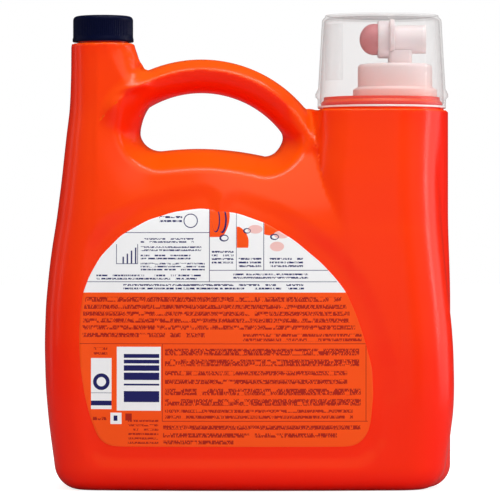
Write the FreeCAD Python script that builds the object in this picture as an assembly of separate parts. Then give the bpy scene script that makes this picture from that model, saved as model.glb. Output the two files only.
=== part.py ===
"""Large laundry detergent bottle that is stored upright and poured lying on its right side.

The blow-moulded bottle has a hollow carrying handle between two columns. The slim left column
ends in a screw-capped vent neck. The broad right column ends in a press tap, which an upside-down
dosing cup covers. Seen along +Y the vent is on the left, at -X, and the tap on the right, at +X.

Millimetres, +Z up. The origin is the middle of the bottle's outline, on the surface it stands on.
"""

import FreeCAD, Part
import math
import os
from collections import namedtuple

Vector = FreeCAD.Vector
ALONG_X = Vector(1, 0, 0)
ALONG_Y = Vector(0, 1, 0)
ALONG_Z = Vector(0, 0, 1)

# Bottle skin
HALF_WIDTH = 129.6          # widest reach of the body to either side
BOTTLE_WALL = 1.3           # blow-moulded wall
PLATFORM_HEIGHT = 240.5     # flat top of the broad right column
VENT_COLUMN_TOP = PLATFORM_HEIGHT + 42.7    # flat top of the slim left column
BASE_ROUNDING = 15.0        # radius between the side wall and the base
BASE_RECESS_DEPTH = 3.0     # push-up of the base, inside its standing rim
BASE_RECESS_TAPER = 6.0     # how far the push-up narrows towards its top
STANDING_RIM = 8.0          # width of the flat rim that the bottle stands on
TIGHTEST_CORNER = 10.0      # least corner radius of any plan outline
PLAN_SPANS = 24             # spans of the smooth curve round half of a plan outline
FACE_STEPS = 60             # points that a face is worked out at before it is smoothed
TRIM = 12.0                 # extra height that is cut off level after rounding

# Flank that the bottle lies on
FLANK_RADIUS = 42.4
FLANK_X = HALF_WIDTH - 45.0     # also the axis of the collar and the dosing cup
FLANK_FOOT = 62.0

# Shoulder under the handle, which lies behind the face of the broad column
COLUMN_EDGE = HALF_WIDTH - 90.8 # left edge of the broad column at its top
COLUMN_SPREAD = 0.15            # how fast that edge moves right further down
COLUMN_ROUNDING = 27.0          # rounding of that edge at the top
COLUMN_TIGHTENING = 0.3         # how fast the rounding tightens further down
COLUMN_SIDE_SLOPE = 3.0
SHOULDER_FROM, SHOULDER_TO = -35.0, 10.0
SHOULDER_FADE = -60.0, -98.0    # where the dip fades out towards the slim column

# Grip opening, seen from the front
GRIP_LEFT = (73.2 - HALF_WIDTH, PLATFORM_HEIGHT - 12.1)     # centre of the rounded left end
GRIP_LEFT_RADIUS = 14.0
GRIP_RIGHT = (HALF_WIDTH - 120.0, PLATFORM_HEIGHT - 19.1)   # centre of the rounded right end
GRIP_RIGHT_RADIUS = 10.2
SHELF_RADIUS = 190.0            # slight hump of the shelf under the grip
VENT_COLUMN_EDGE = 55.7 - HALF_WIDTH    # right edge of the slim column at its top
VENT_COLUMN_KNEE = (59.35 - HALF_WIDTH, VENT_COLUMN_TOP - 11.7)
KNEE_RADIUS = 60.0
LANDING_SLOPE = 52.0            # slope of the shoulder that the handle lands on, in degrees
GRIP_ROUNDING = 14.0            # large soft edge all round the grip

# Planes that part the hollow shell into simple solids
SECTION_HEIGHT = PLATFORM_HEIGHT - 35.5     # columns above, body below
SECTION_LEFT = GRIP_LEFT[0] - 7.1           # slim column to the left, handle to the right
SECTION_RIGHT = GRIP_RIGHT[0] + 8.2         # broad column to the right
NECK_STUB = 0.6                 # how far above its seat each neck is parted

# Handle
HANDLE_ARCH = HALF_WIDTH - 54.4 # radius of the arch, to the middle of the tube
HANDLE_RISE = 22.0              # middle of the tube above the platform, at the top of the arch
HANDLE_CENTRE = (-30.8, PLATFORM_HEIGHT + HANDLE_RISE - HANDLE_ARCH)
HANDLE_HALF_HEIGHT = 10.8
HANDLE_HALF_DEPTH = 15.6
HANDLE_FULLNESS = 2.3           # 2 is an ellipse, more is squarer
HANDLE_TOP_HEAVY = 0.12         # how much wider the tube is near its outer side
HANDLE_SPANS = 16               # spans of the smooth curve round the tube
HANDLE_FROM, HANDLE_TO = 14.0, 137.0    # degrees of arch, counted from +X

# Labels, with the corners and arc midpoints of their outline seen from the front
LABEL_THICKNESS = 0.3
LABEL_CORNERS = (
    (-104.2, 124.8),
    (-30.5, 177.6),
    (60.4, 124.8),
    (72.6, 95.0),
    (77.5, 66.0),
    (77.2, 44.5),
    (73.8, 33.0),
    (65.0, 28.4),
    (-89.0, 28.4),
    (-97.4, 36.6),
    (-102.6, 51.2),
    (-105.8, 72.0),
    (-106.8, 93.5),
)

# Vent neck, its cap and the cap's liner
VENT_X = 35.9 - HALF_WIDTH
VENT_NECK_RADIUS = 16.0
VENT_BORE_RADIUS = 13.4
VENT_CAP_RADIUS = 19.2
VENT_CAP_HEIGHT = 16.6
VENT_CAP_GAP = 1.2              # visible gap under the cap's rim
VENT_CAP_WALL = 1.8
VENT_CAP_ROOF = 1.6
VENT_CAP_CHAMFER = 2.3
VENT_CAP_RIM = 0.35             # how far the rim stands out
VENT_CAP_RIM_HEIGHT = 2.4
LINER_THICKNESS = 1.0
LINER_MARGIN = 0.6              # liner's edge to the cap's wall

# Collar that the dosing cup clips on
COLLAR_X = FLANK_X
COLLAR_TOP_RADIUS = 37.1
COLLAR_FLANGE_RADIUS = COLLAR_TOP_RADIUS + 2.5
COLLAR_FLANGE_HEIGHT = 1.1
COLLAR_GROOVE_RADIUS = COLLAR_TOP_RADIUS + 0.4
COLLAR_GROOVE_TOP = 3.4
COLLAR_BEAD_RADIUS = COLLAR_TOP_RADIUS + 1.6
COLLAR_BEAD_TOP = 5.0
COLLAR_HEIGHT = 8.4
COLLAR_EDGE = 1.2               # chamfer round the collar's top
NOTCH_WIDTH = 2.4
NOTCH_DEPTH = 1.4

# Tap neck
TAP_X = COLLAR_X + 8.5          # off the middle of the cup, towards the flank
TAP_NECK_RADIUS = 21.2
TAP_BORE_RADIUS = 18.8
SNAP_BEAD = 0.7
SNAP_BEAD_HEIGHT = 2.0
SNAP_BEAD_LIFT = 10.0           # bead's lower edge above the collar's top

# Tap body, with heights above the collar's top and lengths along X from the tap's axis
TAP_RING_RADIUS = 26.9
TAP_RING_HEIGHT = 5.2
TAP_RING_CHAMFER = 1.2
TAP_DRUM_RADIUS = 23.8
TAP_DRUM_TOP = 21.4
TAP_DRUM_ROUNDING = 3.0
TAP_ROOF = 2.2
SKIRT_CLEARANCE = 0.3           # skirt to neck and to its bead
GASKET_THICKNESS = 2.0
TAP_AXIS_HEIGHT = 37.2          # barrel's axis
BARREL_RADIUS = 9.1
BARREL_BORE = 7.4
BARREL_FROM = -4.5
BARREL_TO = 19.7
RISER_FROM = -4.4
RISER_TO = 10.7
RISER_HALF_DEPTH = 7.2
RISER_ROUNDING = 3.0
RISER_WALL = 1.8
SEAT_FROM = 11.4                # valve seat inside the barrel
SEAT_WIDTH = 1.6
SEAT_BORE = 5.4
WING_FROM = -3.8                # finger wings, one each side of the barrel
WING_THICKNESS = 2.9
WING_HALF_SPAN = 21.0
WING_HEIGHT = 20.0
WING_DROP = 7.9                 # wings' lower edge below the barrel's axis
WING_ROUNDING = 6.0
DISC_RADIUS = 12.1
GUIDE_FROM = 1.0                # spoked guide for the valve stem
GUIDE_LENGTH = 3.0
GUIDE_HUB_RADIUS = 3.8
GUIDE_SPOKES = 3
GUIDE_SPOKE_WIDTH = 1.4
GUIDE_CLEARANCE = 0.3

# Retaining ring, push button and valve
RING_RADIUS = 12.1
RING_LENGTH = 6.7
RING_LIP = 1.2
RING_WALL = 1.0
RING_EDGE = 0.8
BUTTON_RADIUS = 10.0
BUTTON_REACH = 11.5             # dome beyond the ring
BUTTON_DOME = 9.0               # length of its rounded end
BUTTON_WALL = 1.6
DOME_STEPS = 6
BUTTON_CLEARANCE = 0.3
BUTTON_FOOT_LENGTH = 1.2
BUTTON_TRAVEL = 3.5
STEM_RADIUS = 2.0
STEM_BOSS_RADIUS = 3.4
STEM_BOSS_LENGTH = 6.0
SEAL_RADIUS = 6.3
SEAL_LENGTH = 2.4
SEAL_NOSE = 3.6                 # radius of the seal's flat nose
SEAL_GAP = 0.1                  # seal to seat at rest
STEM_SPIGOT = 1.6               # end of the stem inside the seal

# Dosing cup, with heights above its rim
CUP_WALL = 1.3
CUP_RIM_LIFT = 0.35             # gap between the cup's rim and the collar's flange
CUP_RIM_RADIUS = COLLAR_FLANGE_RADIUS + 1.4
CUP_RIM_HEIGHT = 5.8
CUP_FLARE_RADIUS = CUP_RIM_RADIUS + 1.5
CUP_FLARE_FROM = 7.2
CUP_FLARE_TO = 9.2
CUP_WAIST_RADIUS = CUP_RIM_RADIUS - 0.3
CUP_WAIST_HEIGHT = 12.6
CUP_CROWN_RADIUS = CUP_WAIST_RADIUS - 2.5
CUP_CROWN_HEIGHT = 56.6
CUP_CEILING_HEIGHT = 57.4       # inside of the closed end, above the tap
CUP_FOOT_RADIUS = CUP_CROWN_RADIUS - 1.9    # ring that the cup stands on when it is used
CUP_FOOT_WIDTH = 1.6
CUP_FOOT_HEIGHT = 0.7
CUP_EDGE = 1.8                  # slope between the side and the foot ring
CUP_CLIP_CLEARANCE = 0.3        # clip bead to the collar's bead, as drawn
CUP_CLIP_FROM = 1.4
CUP_CLIP_TO = 2.6

STATION_FIELDS = "height left right depth_left depth_right crown corner_left corner_right dip_left dip_right"
Station = namedtuple("Station", STATION_FIELDS)

# Outline of the body in plan at a few heights. left and right are reaches inside HALF_WIDTH,
# depths are half depths at the two ends, crown is how far the face swells between them, and the
# dips are how far the shoulder lies back on either side of the grip.
STATIONS = (
    Station(0.0, 7.0, 7.0, 52.0, 53.5, 6.0, 27.0, 30.0, 0.0, 0.0),
    Station(16.0, 6.2, 5.6, 53.5, 55.0, 6.0, 27.0, 30.0, 0.0, 0.0),
    Station(50.0, 1.6, 0.6, 55.5, 56.5, 6.5, 28.0, 32.0, 0.0, 0.0),
    Station(92.0, 0.0, 1.0, 54.5, 56.0, 6.5, 28.0, 32.0, 0.0, 0.0),
    Station(133.0, 2.3, 5.0, 51.5, 53.5, 5.5, 28.0, 31.0, 0.0, 0.0),
    Station(PLATFORM_HEIGHT - 72.5, 6.9, 8.0, 46.8, 50.2, 4.5, 27.0, 31.0, 0.3, 0.6),
    Station(PLATFORM_HEIGHT - 53.5, 9.2, 8.6, 43.0, 48.2, 3.5, 26.0, 32.0, 2.2, 3.8),
    Station(PLATFORM_HEIGHT - 35.5, 11.4, 8.2, 39.0, 46.5, 2.5, 25.0, 33.0, 5.2, 10.0),
    Station(PLATFORM_HEIGHT - 18.5, 13.0, 6.4, 34.2, 44.0, 1.5, 23.5, 36.0, 4.2, 18.5),
    Station(PLATFORM_HEIGHT, 15.0, 4.2, 29.0, 41.2, 0.6, 22.0, 40.0, 0.7, 26.0),
    Station(VENT_COLUMN_TOP, 15.7, 4.2, 19.9, 33.0, 0.4, 19.0, 32.0, 0.0, 18.0),
)


def circle_point(centre, radius, degrees):
    """Point on a circle in the front plane."""
    angle = math.radians(degrees)
    return (centre[0] + radius * math.cos(angle), centre[1] + radius * math.sin(angle))


def front(point):
    """Vector of a point of the front plane."""
    return Vector(point[0], 0, point[1])


def line(a, b):
    return Part.LineSegment(a, b).toShape()


def arc(a, b, c):
    return Part.Arc(a, b, c).toShape()


def polygon(points):
    """Closed wire of straight edges."""
    return Part.makePolygon(list(points) + [points[0]])


def revolved(points, centre, axis):
    """Solid of revolution of a closed outline given as vectors."""
    return Part.Face(polygon(points)).revolve(centre, axis, 360)


def fused(first, *others):
    """Union of solids, with faces that carry on across a seam made one."""
    return first.multiFuse(list(others)).removeSplitter()


def turned_z(outline, x):
    """Solid of revolution about a vertical axis at x from (radius, height) pairs."""
    return revolved([Vector(x + r, 0, z) for r, z in outline], Vector(x, 0, 0), ALONG_Z)


def turned_x(outline, z):
    """Solid of revolution about a level axis along X at height z from (x, radius) pairs."""
    return revolved([Vector(x, 0, z + r) for x, r in outline], Vector(0, 0, z), ALONG_X)


def evenly_spaced(path, count):
    """Points at equal lengths along a chain of points, both ends included."""
    lengths = [0.0]
    for here, following in zip(path, path[1:]):
        lengths.append(lengths[-1] + here.distanceToPoint(following))
    picked = [path[0]]
    for index in range(1, count):
        target = lengths[-1] * index / count
        step = max(i for i, length in enumerate(lengths) if length <= target)
        share = (target - lengths[step]) / (lengths[step + 1] - lengths[step])
        picked.append(path[step] + (path[step + 1] - path[step]) * share)
    return picked + [path[-1]]


def eased(low, high, value):
    """Soft rise from 0 at low to 1 at high."""
    share = min(max((value - low) / (high - low), 0), 1)
    return share * share * (3 - 2 * share)


def face_depth(station, x, share, inset):
    """Half depth of the body at a place across it, share of the way from its right corner."""
    swell = station.crown * 4 * share * (1 - share)
    full = station.depth_right + (station.depth_left - station.depth_right) * share + swell
    across = eased(SHOULDER_FROM, SHOULDER_TO, x)
    fade = eased(SHOULDER_FADE[1], SHOULDER_FADE[0], x)
    shoulder = full - station.dip_right * across - station.dip_left * fade * (1 - across)
    below = max(PLATFORM_HEIGHT - station.height, 0)
    edge = COLUMN_EDGE + COLUMN_SPREAD * below + inset
    rounding = max(COLUMN_ROUNDING - COLUMN_TIGHTENING * below, TIGHTEST_CORNER)
    lack = min(max(edge + rounding - x, 0), rounding * 0.985)
    beyond = max(edge - x, 0)
    column = full - rounding + math.sqrt(rounding**2 - lack**2) - COLUMN_SIDE_SLOPE * beyond
    return max(shoulder, column) - inset


def plan_half(station, height, inset):
    """Front half of the body's outline in plan at one station, from the right end to the left."""
    left = -HALF_WIDTH + station.left + inset
    right = HALF_WIDTH - station.right - inset
    depth_left = station.depth_left - inset
    depth_right = station.depth_right - inset
    corner_left = max(station.corner_left - inset, TIGHTEST_CORNER)
    corner_right = max(station.corner_right - inset, TIGHTEST_CORNER)
    face_from, face_to = right - corner_right, left + corner_left

    def corner(x, y, radius, first):
        angles = [math.radians(first + 5 * step) for step in range(19)]
        return [Vector(x + radius * math.cos(a), y + radius * math.sin(a), height) for a in angles]

    path = [Vector(right, 0, height)]
    path += corner(face_from, depth_right - corner_right, corner_right, 0)
    for step in range(1, FACE_STEPS):
        share = step / FACE_STEPS
        x = face_from + (face_to - face_from) * share
        path.append(Vector(x, face_depth(station, x, share, inset), height))
    path += corner(face_to, depth_left - corner_left, corner_left, 90)
    path.append(Vector(left, 0, height))
    return path


def plan_wire(station, height, inset):
    """Smooth closed outline of the body in plan at one station, moved inwards by inset."""
    half = evenly_spaced(plan_half(station, height, inset), PLAN_SPANS)
    mirrored = [Vector(p.x, -p.y, p.z) for p in reversed(half[1:-1])]
    curve = Part.BSplineCurve()
    parameters = list(range(2 * PLAN_SPANS + 1))
    curve.interpolate(Points=half + mirrored, PeriodicFlag=True, Parameters=parameters)
    return Part.Wire([curve.toShape()])


def base_recess(inset):
    """Push-up of the base, inside the standing rim."""
    margin = BASE_ROUNDING + STANDING_RIM - inset
    foot = plan_wire(STATIONS[0], 0, margin)
    top = plan_wire(STATIONS[0], BASE_RECESS_DEPTH + inset, margin + BASE_RECESS_TAPER)
    return Part.makeLoft([foot, top], True, True)


def skin_loft(inset):
    """Body without grip, lofted through the stations, with square edges."""
    wires = [plan_wire(station, max(station.height, inset), inset) for station in STATIONS]
    wires.append(plan_wire(STATIONS[-1], VENT_COLUMN_TOP + TRIM, inset))
    return Part.makeLoft(wires, True, False)


def skin_block(inset):
    """Body without grip, rounded and pushed up at the base."""
    block = skin_loft(inset)
    rim = [e for e in block.Edges if e.BoundBox.ZMax < inset + 0.01]
    return block.makeFillet(BASE_ROUNDING - inset, rim).cut(base_recess(inset))


def shelf_circle():
    """Centre of the shelf's arc, which touches both rounded ends of the grip from below."""
    run = GRIP_RIGHT[0] - GRIP_LEFT[0], GRIP_RIGHT[1] - GRIP_LEFT[1]
    length = math.hypot(*run)
    to_left = SHELF_RADIUS + GRIP_LEFT_RADIUS
    to_right = SHELF_RADIUS + GRIP_RIGHT_RADIUS
    along = (to_left**2 - to_right**2 + length**2) / (2 * length)
    down = math.sqrt(to_left**2 - along**2)
    unit = run[0] / length, run[1] / length
    return (
        GRIP_LEFT[0] + along * unit[0] + down * unit[1],
        GRIP_LEFT[1] + along * unit[1] - down * unit[0],
    )


def bearing(origin, target):
    """Direction from one front-plane point to another, in degrees."""
    return math.degrees(math.atan2(target[1] - origin[1], target[0] - origin[0]))


def grip_cutter(inset):
    """Everything between the columns: the grip opening and the space above it."""
    shelf = shelf_circle()
    left_down = bearing(GRIP_LEFT, shelf)
    right_down = bearing(GRIP_RIGHT, shelf)
    reach = math.hypot(VENT_COLUMN_KNEE[0] - GRIP_LEFT[0], VENT_COLUMN_KNEE[1] - GRIP_LEFT[1])
    side = bearing(GRIP_LEFT, VENT_COLUMN_KNEE) + math.degrees(math.acos(GRIP_LEFT_RADIUS / reach))
    wall_foot = circle_point(GRIP_LEFT, GRIP_LEFT_RADIUS, side)
    shelf_left = circle_point(GRIP_LEFT, GRIP_LEFT_RADIUS, left_down)
    shelf_right = circle_point(GRIP_RIGHT, GRIP_RIGHT_RADIUS, right_down)
    shelf_mid = circle_point(shelf, SHELF_RADIUS, (bearing(shelf, shelf_left) + bearing(shelf, shelf_right)) / 2)
    landing_turn = LANDING_SLOPE - 90
    landing_foot = circle_point(GRIP_RIGHT, GRIP_RIGHT_RADIUS, landing_turn)
    rise = PLATFORM_HEIGHT - landing_foot[1]
    landing_top = (landing_foot[0] + rise / math.tan(math.radians(LANDING_SLOPE)), PLATFORM_HEIGHT)

    knee = front(VENT_COLUMN_KNEE)
    up = (Vector(VENT_COLUMN_EDGE, 0, VENT_COLUMN_TOP) - knee).normalize()
    down = (front(wall_foot) - knee).normalize()
    bisector = (up + down).normalize()
    half_turn = up.getAngle(down) / 2
    tangent = KNEE_RADIUS / math.tan(half_turn)
    crest = knee + bisector * (KNEE_RADIUS / math.sin(half_turn) - KNEE_RADIUS)

    sky = VENT_COLUMN_TOP + 2 * TRIM
    far = HALF_WIDTH + 2 * TRIM
    lead = knee + up * ((sky - knee.z) / up.z)
    left_mid = circle_point(GRIP_LEFT, GRIP_LEFT_RADIUS, (side + left_down % 360) / 2)
    right_mid = circle_point(GRIP_RIGHT, GRIP_RIGHT_RADIUS, (right_down + landing_turn) / 2)
    edges = [
        line(lead, knee + up * tangent),
        arc(knee + up * tangent, crest, knee + down * tangent),
        line(knee + down * tangent, front(wall_foot)),
        arc(front(wall_foot), front(left_mid), front(shelf_left)),
        arc(front(shelf_left), front(shelf_mid), front(shelf_right)),
        arc(front(shelf_right), front(right_mid), front(landing_foot)),
        line(front(landing_foot), front(landing_top)),
        line(front(landing_top), Vector(far, 0, PLATFORM_HEIGHT)),
        line(Vector(far, 0, PLATFORM_HEIGHT), Vector(far, 0, sky)),
        line(Vector(far, 0, sky), lead),
    ]
    wire = Part.Wire(edges)
    if inset:
        wire = wire.makeOffset2D(inset, 2)
    reach_y = 2 * HALF_WIDTH
    prism = Part.Face(wire).extrude(ALONG_Y * reach_y)
    prism.translate(ALONG_Y * (-reach_y / 2))
    return prism, landing_top[0]


def trim_above(height):
    """Slab that cuts the body off level at a height."""
    side = 3 * HALF_WIDTH
    return Part.makeBox(side, side, 2 * TRIM, Vector(-side / 2, -side / 2, height))


def grip_edges(block, inset, landing_top):
    """Front and back edges of the cut between the columns."""
    shelf_low = GRIP_RIGHT[1] - 2 * GRIP_RIGHT_RADIUS
    found = []
    for edge in block.Edges:
        box = edge.BoundBox
        middle = edge.valueAt((edge.FirstParameter + edge.LastParameter) / 2)
        crosses = box.YMin < 0 < box.YMax
        beside = VENT_COLUMN_EDGE - 2 - inset < middle.x < landing_top
        if beside and not crosses and box.ZMin > shelf_low and box.ZLength > 0.001:
            found.append(edge)
    return found


def handle_tube(inset):
    """Arched carrying handle, wider near its outer side."""
    centre = front(HANDLE_CENTRE)
    half_height = HANDLE_HALF_HEIGHT - inset
    half_depth = HANDLE_HALF_DEPTH - inset
    power = 2 / HANDLE_FULLNESS
    points = []
    for step in range(HANDLE_SPANS):
        angle = 2 * math.pi * step / HANDLE_SPANS
        across, deep = math.cos(angle), math.sin(angle)
        radial = half_height * math.copysign(abs(across) ** power, across)
        depth = half_depth * math.copysign(abs(deep) ** power, deep) * (1 + HANDLE_TOP_HEAVY * across)
        points.append(centre + Vector(HANDLE_ARCH + radial, depth, 0))
    curve = Part.BSplineCurve()
    curve.interpolate(Points=points, PeriodicFlag=True)
    section = Part.Face(Part.Wire([curve.toShape()]))
    section.rotate(centre, ALONG_Y, -HANDLE_FROM)
    return section.revolve(centre, ALONG_Y, HANDLE_FROM - HANDLE_TO)


def outer_form(inset):
    """Outer shape of the bottle moved inwards by inset: 0 is the skin and the wall is the cavity."""
    block = skin_block(inset)
    cutter, landing_top = grip_cutter(inset)
    block = block.cut(cutter)
    block = block.makeFillet(GRIP_ROUNDING - inset, grip_edges(block, inset, landing_top))
    block = block.cut(trim_above(VENT_COLUMN_TOP - inset))
    flank_height = PLATFORM_HEIGHT - inset - FLANK_FOOT
    flank = Part.makeCylinder(FLANK_RADIUS - inset, flank_height, Vector(FLANK_X, 0, FLANK_FOOT))
    return block.fuse(flank).fuse(handle_tube(inset))


def collar():
    """Stepped ring on the platform, with a notch at the front."""
    z = PLATFORM_HEIGHT
    ring = turned_z(
        [
            (0, z - BOTTLE_WALL),
            (COLLAR_FLANGE_RADIUS, z - BOTTLE_WALL),
            (COLLAR_FLANGE_RADIUS, z + COLLAR_FLANGE_HEIGHT),
            (COLLAR_GROOVE_RADIUS, z + COLLAR_FLANGE_HEIGHT),
            (COLLAR_GROOVE_RADIUS, z + COLLAR_GROOVE_TOP),
            (COLLAR_BEAD_RADIUS, z + COLLAR_GROOVE_TOP),
            (COLLAR_BEAD_RADIUS, z + COLLAR_BEAD_TOP),
            (COLLAR_TOP_RADIUS, z + COLLAR_BEAD_TOP + COLLAR_BEAD_RADIUS - COLLAR_TOP_RADIUS),
            (COLLAR_TOP_RADIUS, z + COLLAR_HEIGHT - COLLAR_EDGE),
            (COLLAR_TOP_RADIUS - COLLAR_EDGE, z + COLLAR_HEIGHT),
            (0, z + COLLAR_HEIGHT),
        ],
        COLLAR_X,
    )
    low = z + COLLAR_GROOVE_TOP
    face = -COLLAR_BEAD_RADIUS
    notch = Part.Face(
        polygon(
            [
                Vector(COLLAR_X - NOTCH_WIDTH / 2, face, low),
                Vector(COLLAR_X + NOTCH_WIDTH / 2, face, low),
                Vector(COLLAR_X, face + NOTCH_DEPTH, low),
            ]
        )
    )
    return ring.cut(notch.extrude(ALONG_Z * (COLLAR_BEAD_TOP - COLLAR_GROOVE_TOP)))


def tap_neck_top():
    """Height of the tap neck's mouth, which presses the gasket against the tap's roof."""
    return collar_top() + TAP_DRUM_TOP - TAP_ROOF - GASKET_THICKNESS


def collar_top():
    return PLATFORM_HEIGHT + COLLAR_HEIGHT


def tap_neck():
    """Neck with the bead that the tap's skirt snaps over."""
    z = collar_top()
    bead = z + SNAP_BEAD_LIFT
    return turned_z(
        [
            (0, z - BOTTLE_WALL),
            (TAP_NECK_RADIUS, z - BOTTLE_WALL),
            (TAP_NECK_RADIUS, bead),
            (TAP_NECK_RADIUS + SNAP_BEAD, bead + SNAP_BEAD),
            (TAP_NECK_RADIUS + SNAP_BEAD, bead + SNAP_BEAD_HEIGHT),
            (TAP_NECK_RADIUS, bead + SNAP_BEAD_HEIGHT + SNAP_BEAD),
            (TAP_NECK_RADIUS, tap_neck_top()),
            (0, tap_neck_top()),
        ],
        TAP_X,
    )


def cap_rim():
    return VENT_COLUMN_TOP + VENT_CAP_GAP


def cap_ceiling():
    """Underside of the vent cap's roof, which the liner sits against."""
    return cap_rim() + VENT_CAP_HEIGHT - VENT_CAP_ROOF


def upright(radius, x, low, high):
    """Upright cylinder between two heights."""
    return Part.makeCylinder(radius, high - low, Vector(x, 0, low))


def level_sheet(height, x_from, x_to):
    """Level plane through the bottle's depth."""
    reach = HALF_WIDTH
    return Part.makePlane(x_to - x_from, 2 * reach, Vector(x_from, -reach, height))


def upright_sheet(x, low, high):
    """Upright plane through the bottle's depth, square to X."""
    sheet = Part.makePlane(high - low, 2 * HALF_WIDTH, Vector(low, -HALF_WIDTH, -x))
    sheet.rotate(Vector(0, 0, 0), ALONG_Y, -90)
    return sheet


def sectioned(shape, sheets):
    """Shape as touching solids, parted along sheets."""
    return Part.Compound(shape.generalFuse(sheets)[0].Solids)


def parted(shell):
    """Shell as touching solids: body, both columns, handle and both necks."""
    reach = HALF_WIDTH + TRIM
    above = VENT_COLUMN_TOP + TRIM
    sheets = [
        level_sheet(SECTION_HEIGHT, -reach, SECTION_LEFT),
        level_sheet(SECTION_HEIGHT, SECTION_RIGHT, reach),
        upright_sheet(SECTION_LEFT, SECTION_HEIGHT, above),
        upright_sheet(SECTION_RIGHT, SECTION_HEIGHT, above),
        level_sheet(VENT_COLUMN_TOP + NECK_STUB, -reach, SECTION_LEFT),
        level_sheet(collar_top() + NECK_STUB, TAP_X - TAP_RING_RADIUS, reach),
    ]
    return sectioned(shell, sheets)


def make_bottle():
    """Blow-moulded shell: columns, handle, collar and both necks in one piece."""
    vent_top = cap_ceiling() - LINER_THICKNESS
    vent_neck = upright(VENT_NECK_RADIUS, VENT_X, VENT_COLUMN_TOP - BOTTLE_WALL, vent_top)
    skin = outer_form(0).fuse(collar()).fuse(tap_neck()).fuse(vent_neck)
    collar_hollow = upright(
        COLLAR_GROOVE_RADIUS - BOTTLE_WALL,
        COLLAR_X,
        PLATFORM_HEIGHT - 2 * BOTTLE_WALL,
        collar_top() - BOTTLE_WALL,
    )
    cavity = outer_form(BOTTLE_WALL).fuse(collar_hollow)
    shell = Part.makeSolid(Part.Compound([skin.Shells[0], cavity.Shells[0].reversed()]))
    tap_bore = upright(TAP_BORE_RADIUS, TAP_X, collar_top() - 2 * BOTTLE_WALL, tap_neck_top() + 1)
    vent_bore = upright(VENT_BORE_RADIUS, VENT_X, VENT_COLUMN_TOP - 2 * BOTTLE_WALL, vent_top + 1)
    return parted(shell.cut(tap_bore).cut(vent_bore))


def label_prism(side):
    """Prism with the arch-topped outline of a label, through one face of the body."""
    points = [Vector(x, 0, z) for x, z in LABEL_CORNERS]
    shoulder, crest, bend, lean, hip, low, heel, foot, far_foot, far_heel, far_low, flare, far_hip = points
    edges = [
        arc(shoulder, crest, bend),
        arc(bend, lean, hip),
        line(hip, low),
        arc(low, heel, foot),
        line(foot, far_foot),
        arc(far_foot, far_heel, far_low),
        arc(far_low, flare, far_hip),
        line(far_hip, shoulder),
    ]
    return Part.Face(Part.Wire(edges)).extrude(ALONG_Y * side * HALF_WIDTH)


def make_label(side):
    """Printed film on one face of the body, with side -1 for the back and 1 for the front."""
    prism = label_prism(side)
    return skin_loft(-LABEL_THICKNESS).common(prism).cut(skin_loft(0))


def make_vent_cap():
    low, ceiling = cap_rim(), cap_ceiling()
    top = ceiling + VENT_CAP_ROOF
    inner = VENT_CAP_RADIUS - VENT_CAP_WALL
    rim = VENT_CAP_RADIUS + VENT_CAP_RIM
    return turned_z(
        [
            (0, top),
            (VENT_CAP_RADIUS - VENT_CAP_CHAMFER, top),
            (VENT_CAP_RADIUS - VENT_CAP_CHAMFER / 3, top - VENT_CAP_CHAMFER / 3),
            (VENT_CAP_RADIUS, top - VENT_CAP_CHAMFER),
            (VENT_CAP_RADIUS, low + VENT_CAP_RIM_HEIGHT),
            (rim, low + VENT_CAP_RIM_HEIGHT - VENT_CAP_RIM),
            (rim, low),
            (inner, low),
            (inner, ceiling),
            (0, ceiling),
        ],
        VENT_X,
    )


def make_vent_liner():
    radius = VENT_CAP_RADIUS - VENT_CAP_WALL - LINER_MARGIN
    return upright(radius, VENT_X, cap_ceiling() - LINER_THICKNESS, cap_ceiling())


def along_x(radius, start, stop):
    """Level cylinder on the barrel's axis between two lengths from the tap's axis."""
    z = collar_top() + TAP_AXIS_HEIGHT
    return Part.makeCylinder(radius, stop - start, Vector(TAP_X + start, 0, z), ALONG_X)


def tap_skirt():
    """Base ring and drum, hollow over the neck and its bead."""
    z = collar_top()
    lip = TAP_NECK_RADIUS + SKIRT_CLEARANCE
    inner = lip + SNAP_BEAD
    bead = z + SNAP_BEAD_LIFT - SKIRT_CLEARANCE
    shoulder = TAP_RING_HEIGHT + TAP_RING_CHAMFER
    return turned_z(
        [
            (0, z + TAP_DRUM_TOP),
            (TAP_DRUM_RADIUS - TAP_DRUM_ROUNDING, z + TAP_DRUM_TOP),
            (TAP_DRUM_RADIUS - TAP_DRUM_ROUNDING * 0.3, z + TAP_DRUM_TOP - TAP_DRUM_ROUNDING * 0.3),
            (TAP_DRUM_RADIUS, z + TAP_DRUM_TOP - TAP_DRUM_ROUNDING),
            (TAP_DRUM_RADIUS, z + shoulder),
            (TAP_RING_RADIUS - 2 * TAP_RING_CHAMFER, z + shoulder),
            (TAP_RING_RADIUS, z + TAP_RING_HEIGHT - TAP_RING_CHAMFER),
            (TAP_RING_RADIUS, z),
            (lip, z),
            (lip, bead),
            (inner, bead + SNAP_BEAD),
            (inner, z + TAP_DRUM_TOP - TAP_ROOF),
            (0, z + TAP_DRUM_TOP - TAP_ROOF),
        ],
        TAP_X,
    )


def rounded_box(x_from, x_to, half_depth, low, high, rounding):
    """Upright box about the middle plane with rounded upright edges."""
    corner = Vector(TAP_X + x_from, -half_depth, low)
    box = Part.makeBox(x_to - x_from, 2 * half_depth, high - low, corner)
    upright_edges = [e for e in box.Edges if e.BoundBox.ZLength > (high - low) / 2]
    return box.makeFillet(rounding, upright_edges)


def finger_wings():
    """Plate with rounded corners that two fingers pull against."""
    z = collar_top() + TAP_AXIS_HEIGHT - WING_DROP
    corner = Vector(TAP_X + WING_FROM, -WING_HALF_SPAN, z)
    plate = Part.makeBox(WING_THICKNESS, 2 * WING_HALF_SPAN, WING_HEIGHT, corner)
    return plate.makeFillet(WING_ROUNDING, [e for e in plate.Edges if e.BoundBox.XLength > 0.1])


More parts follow.
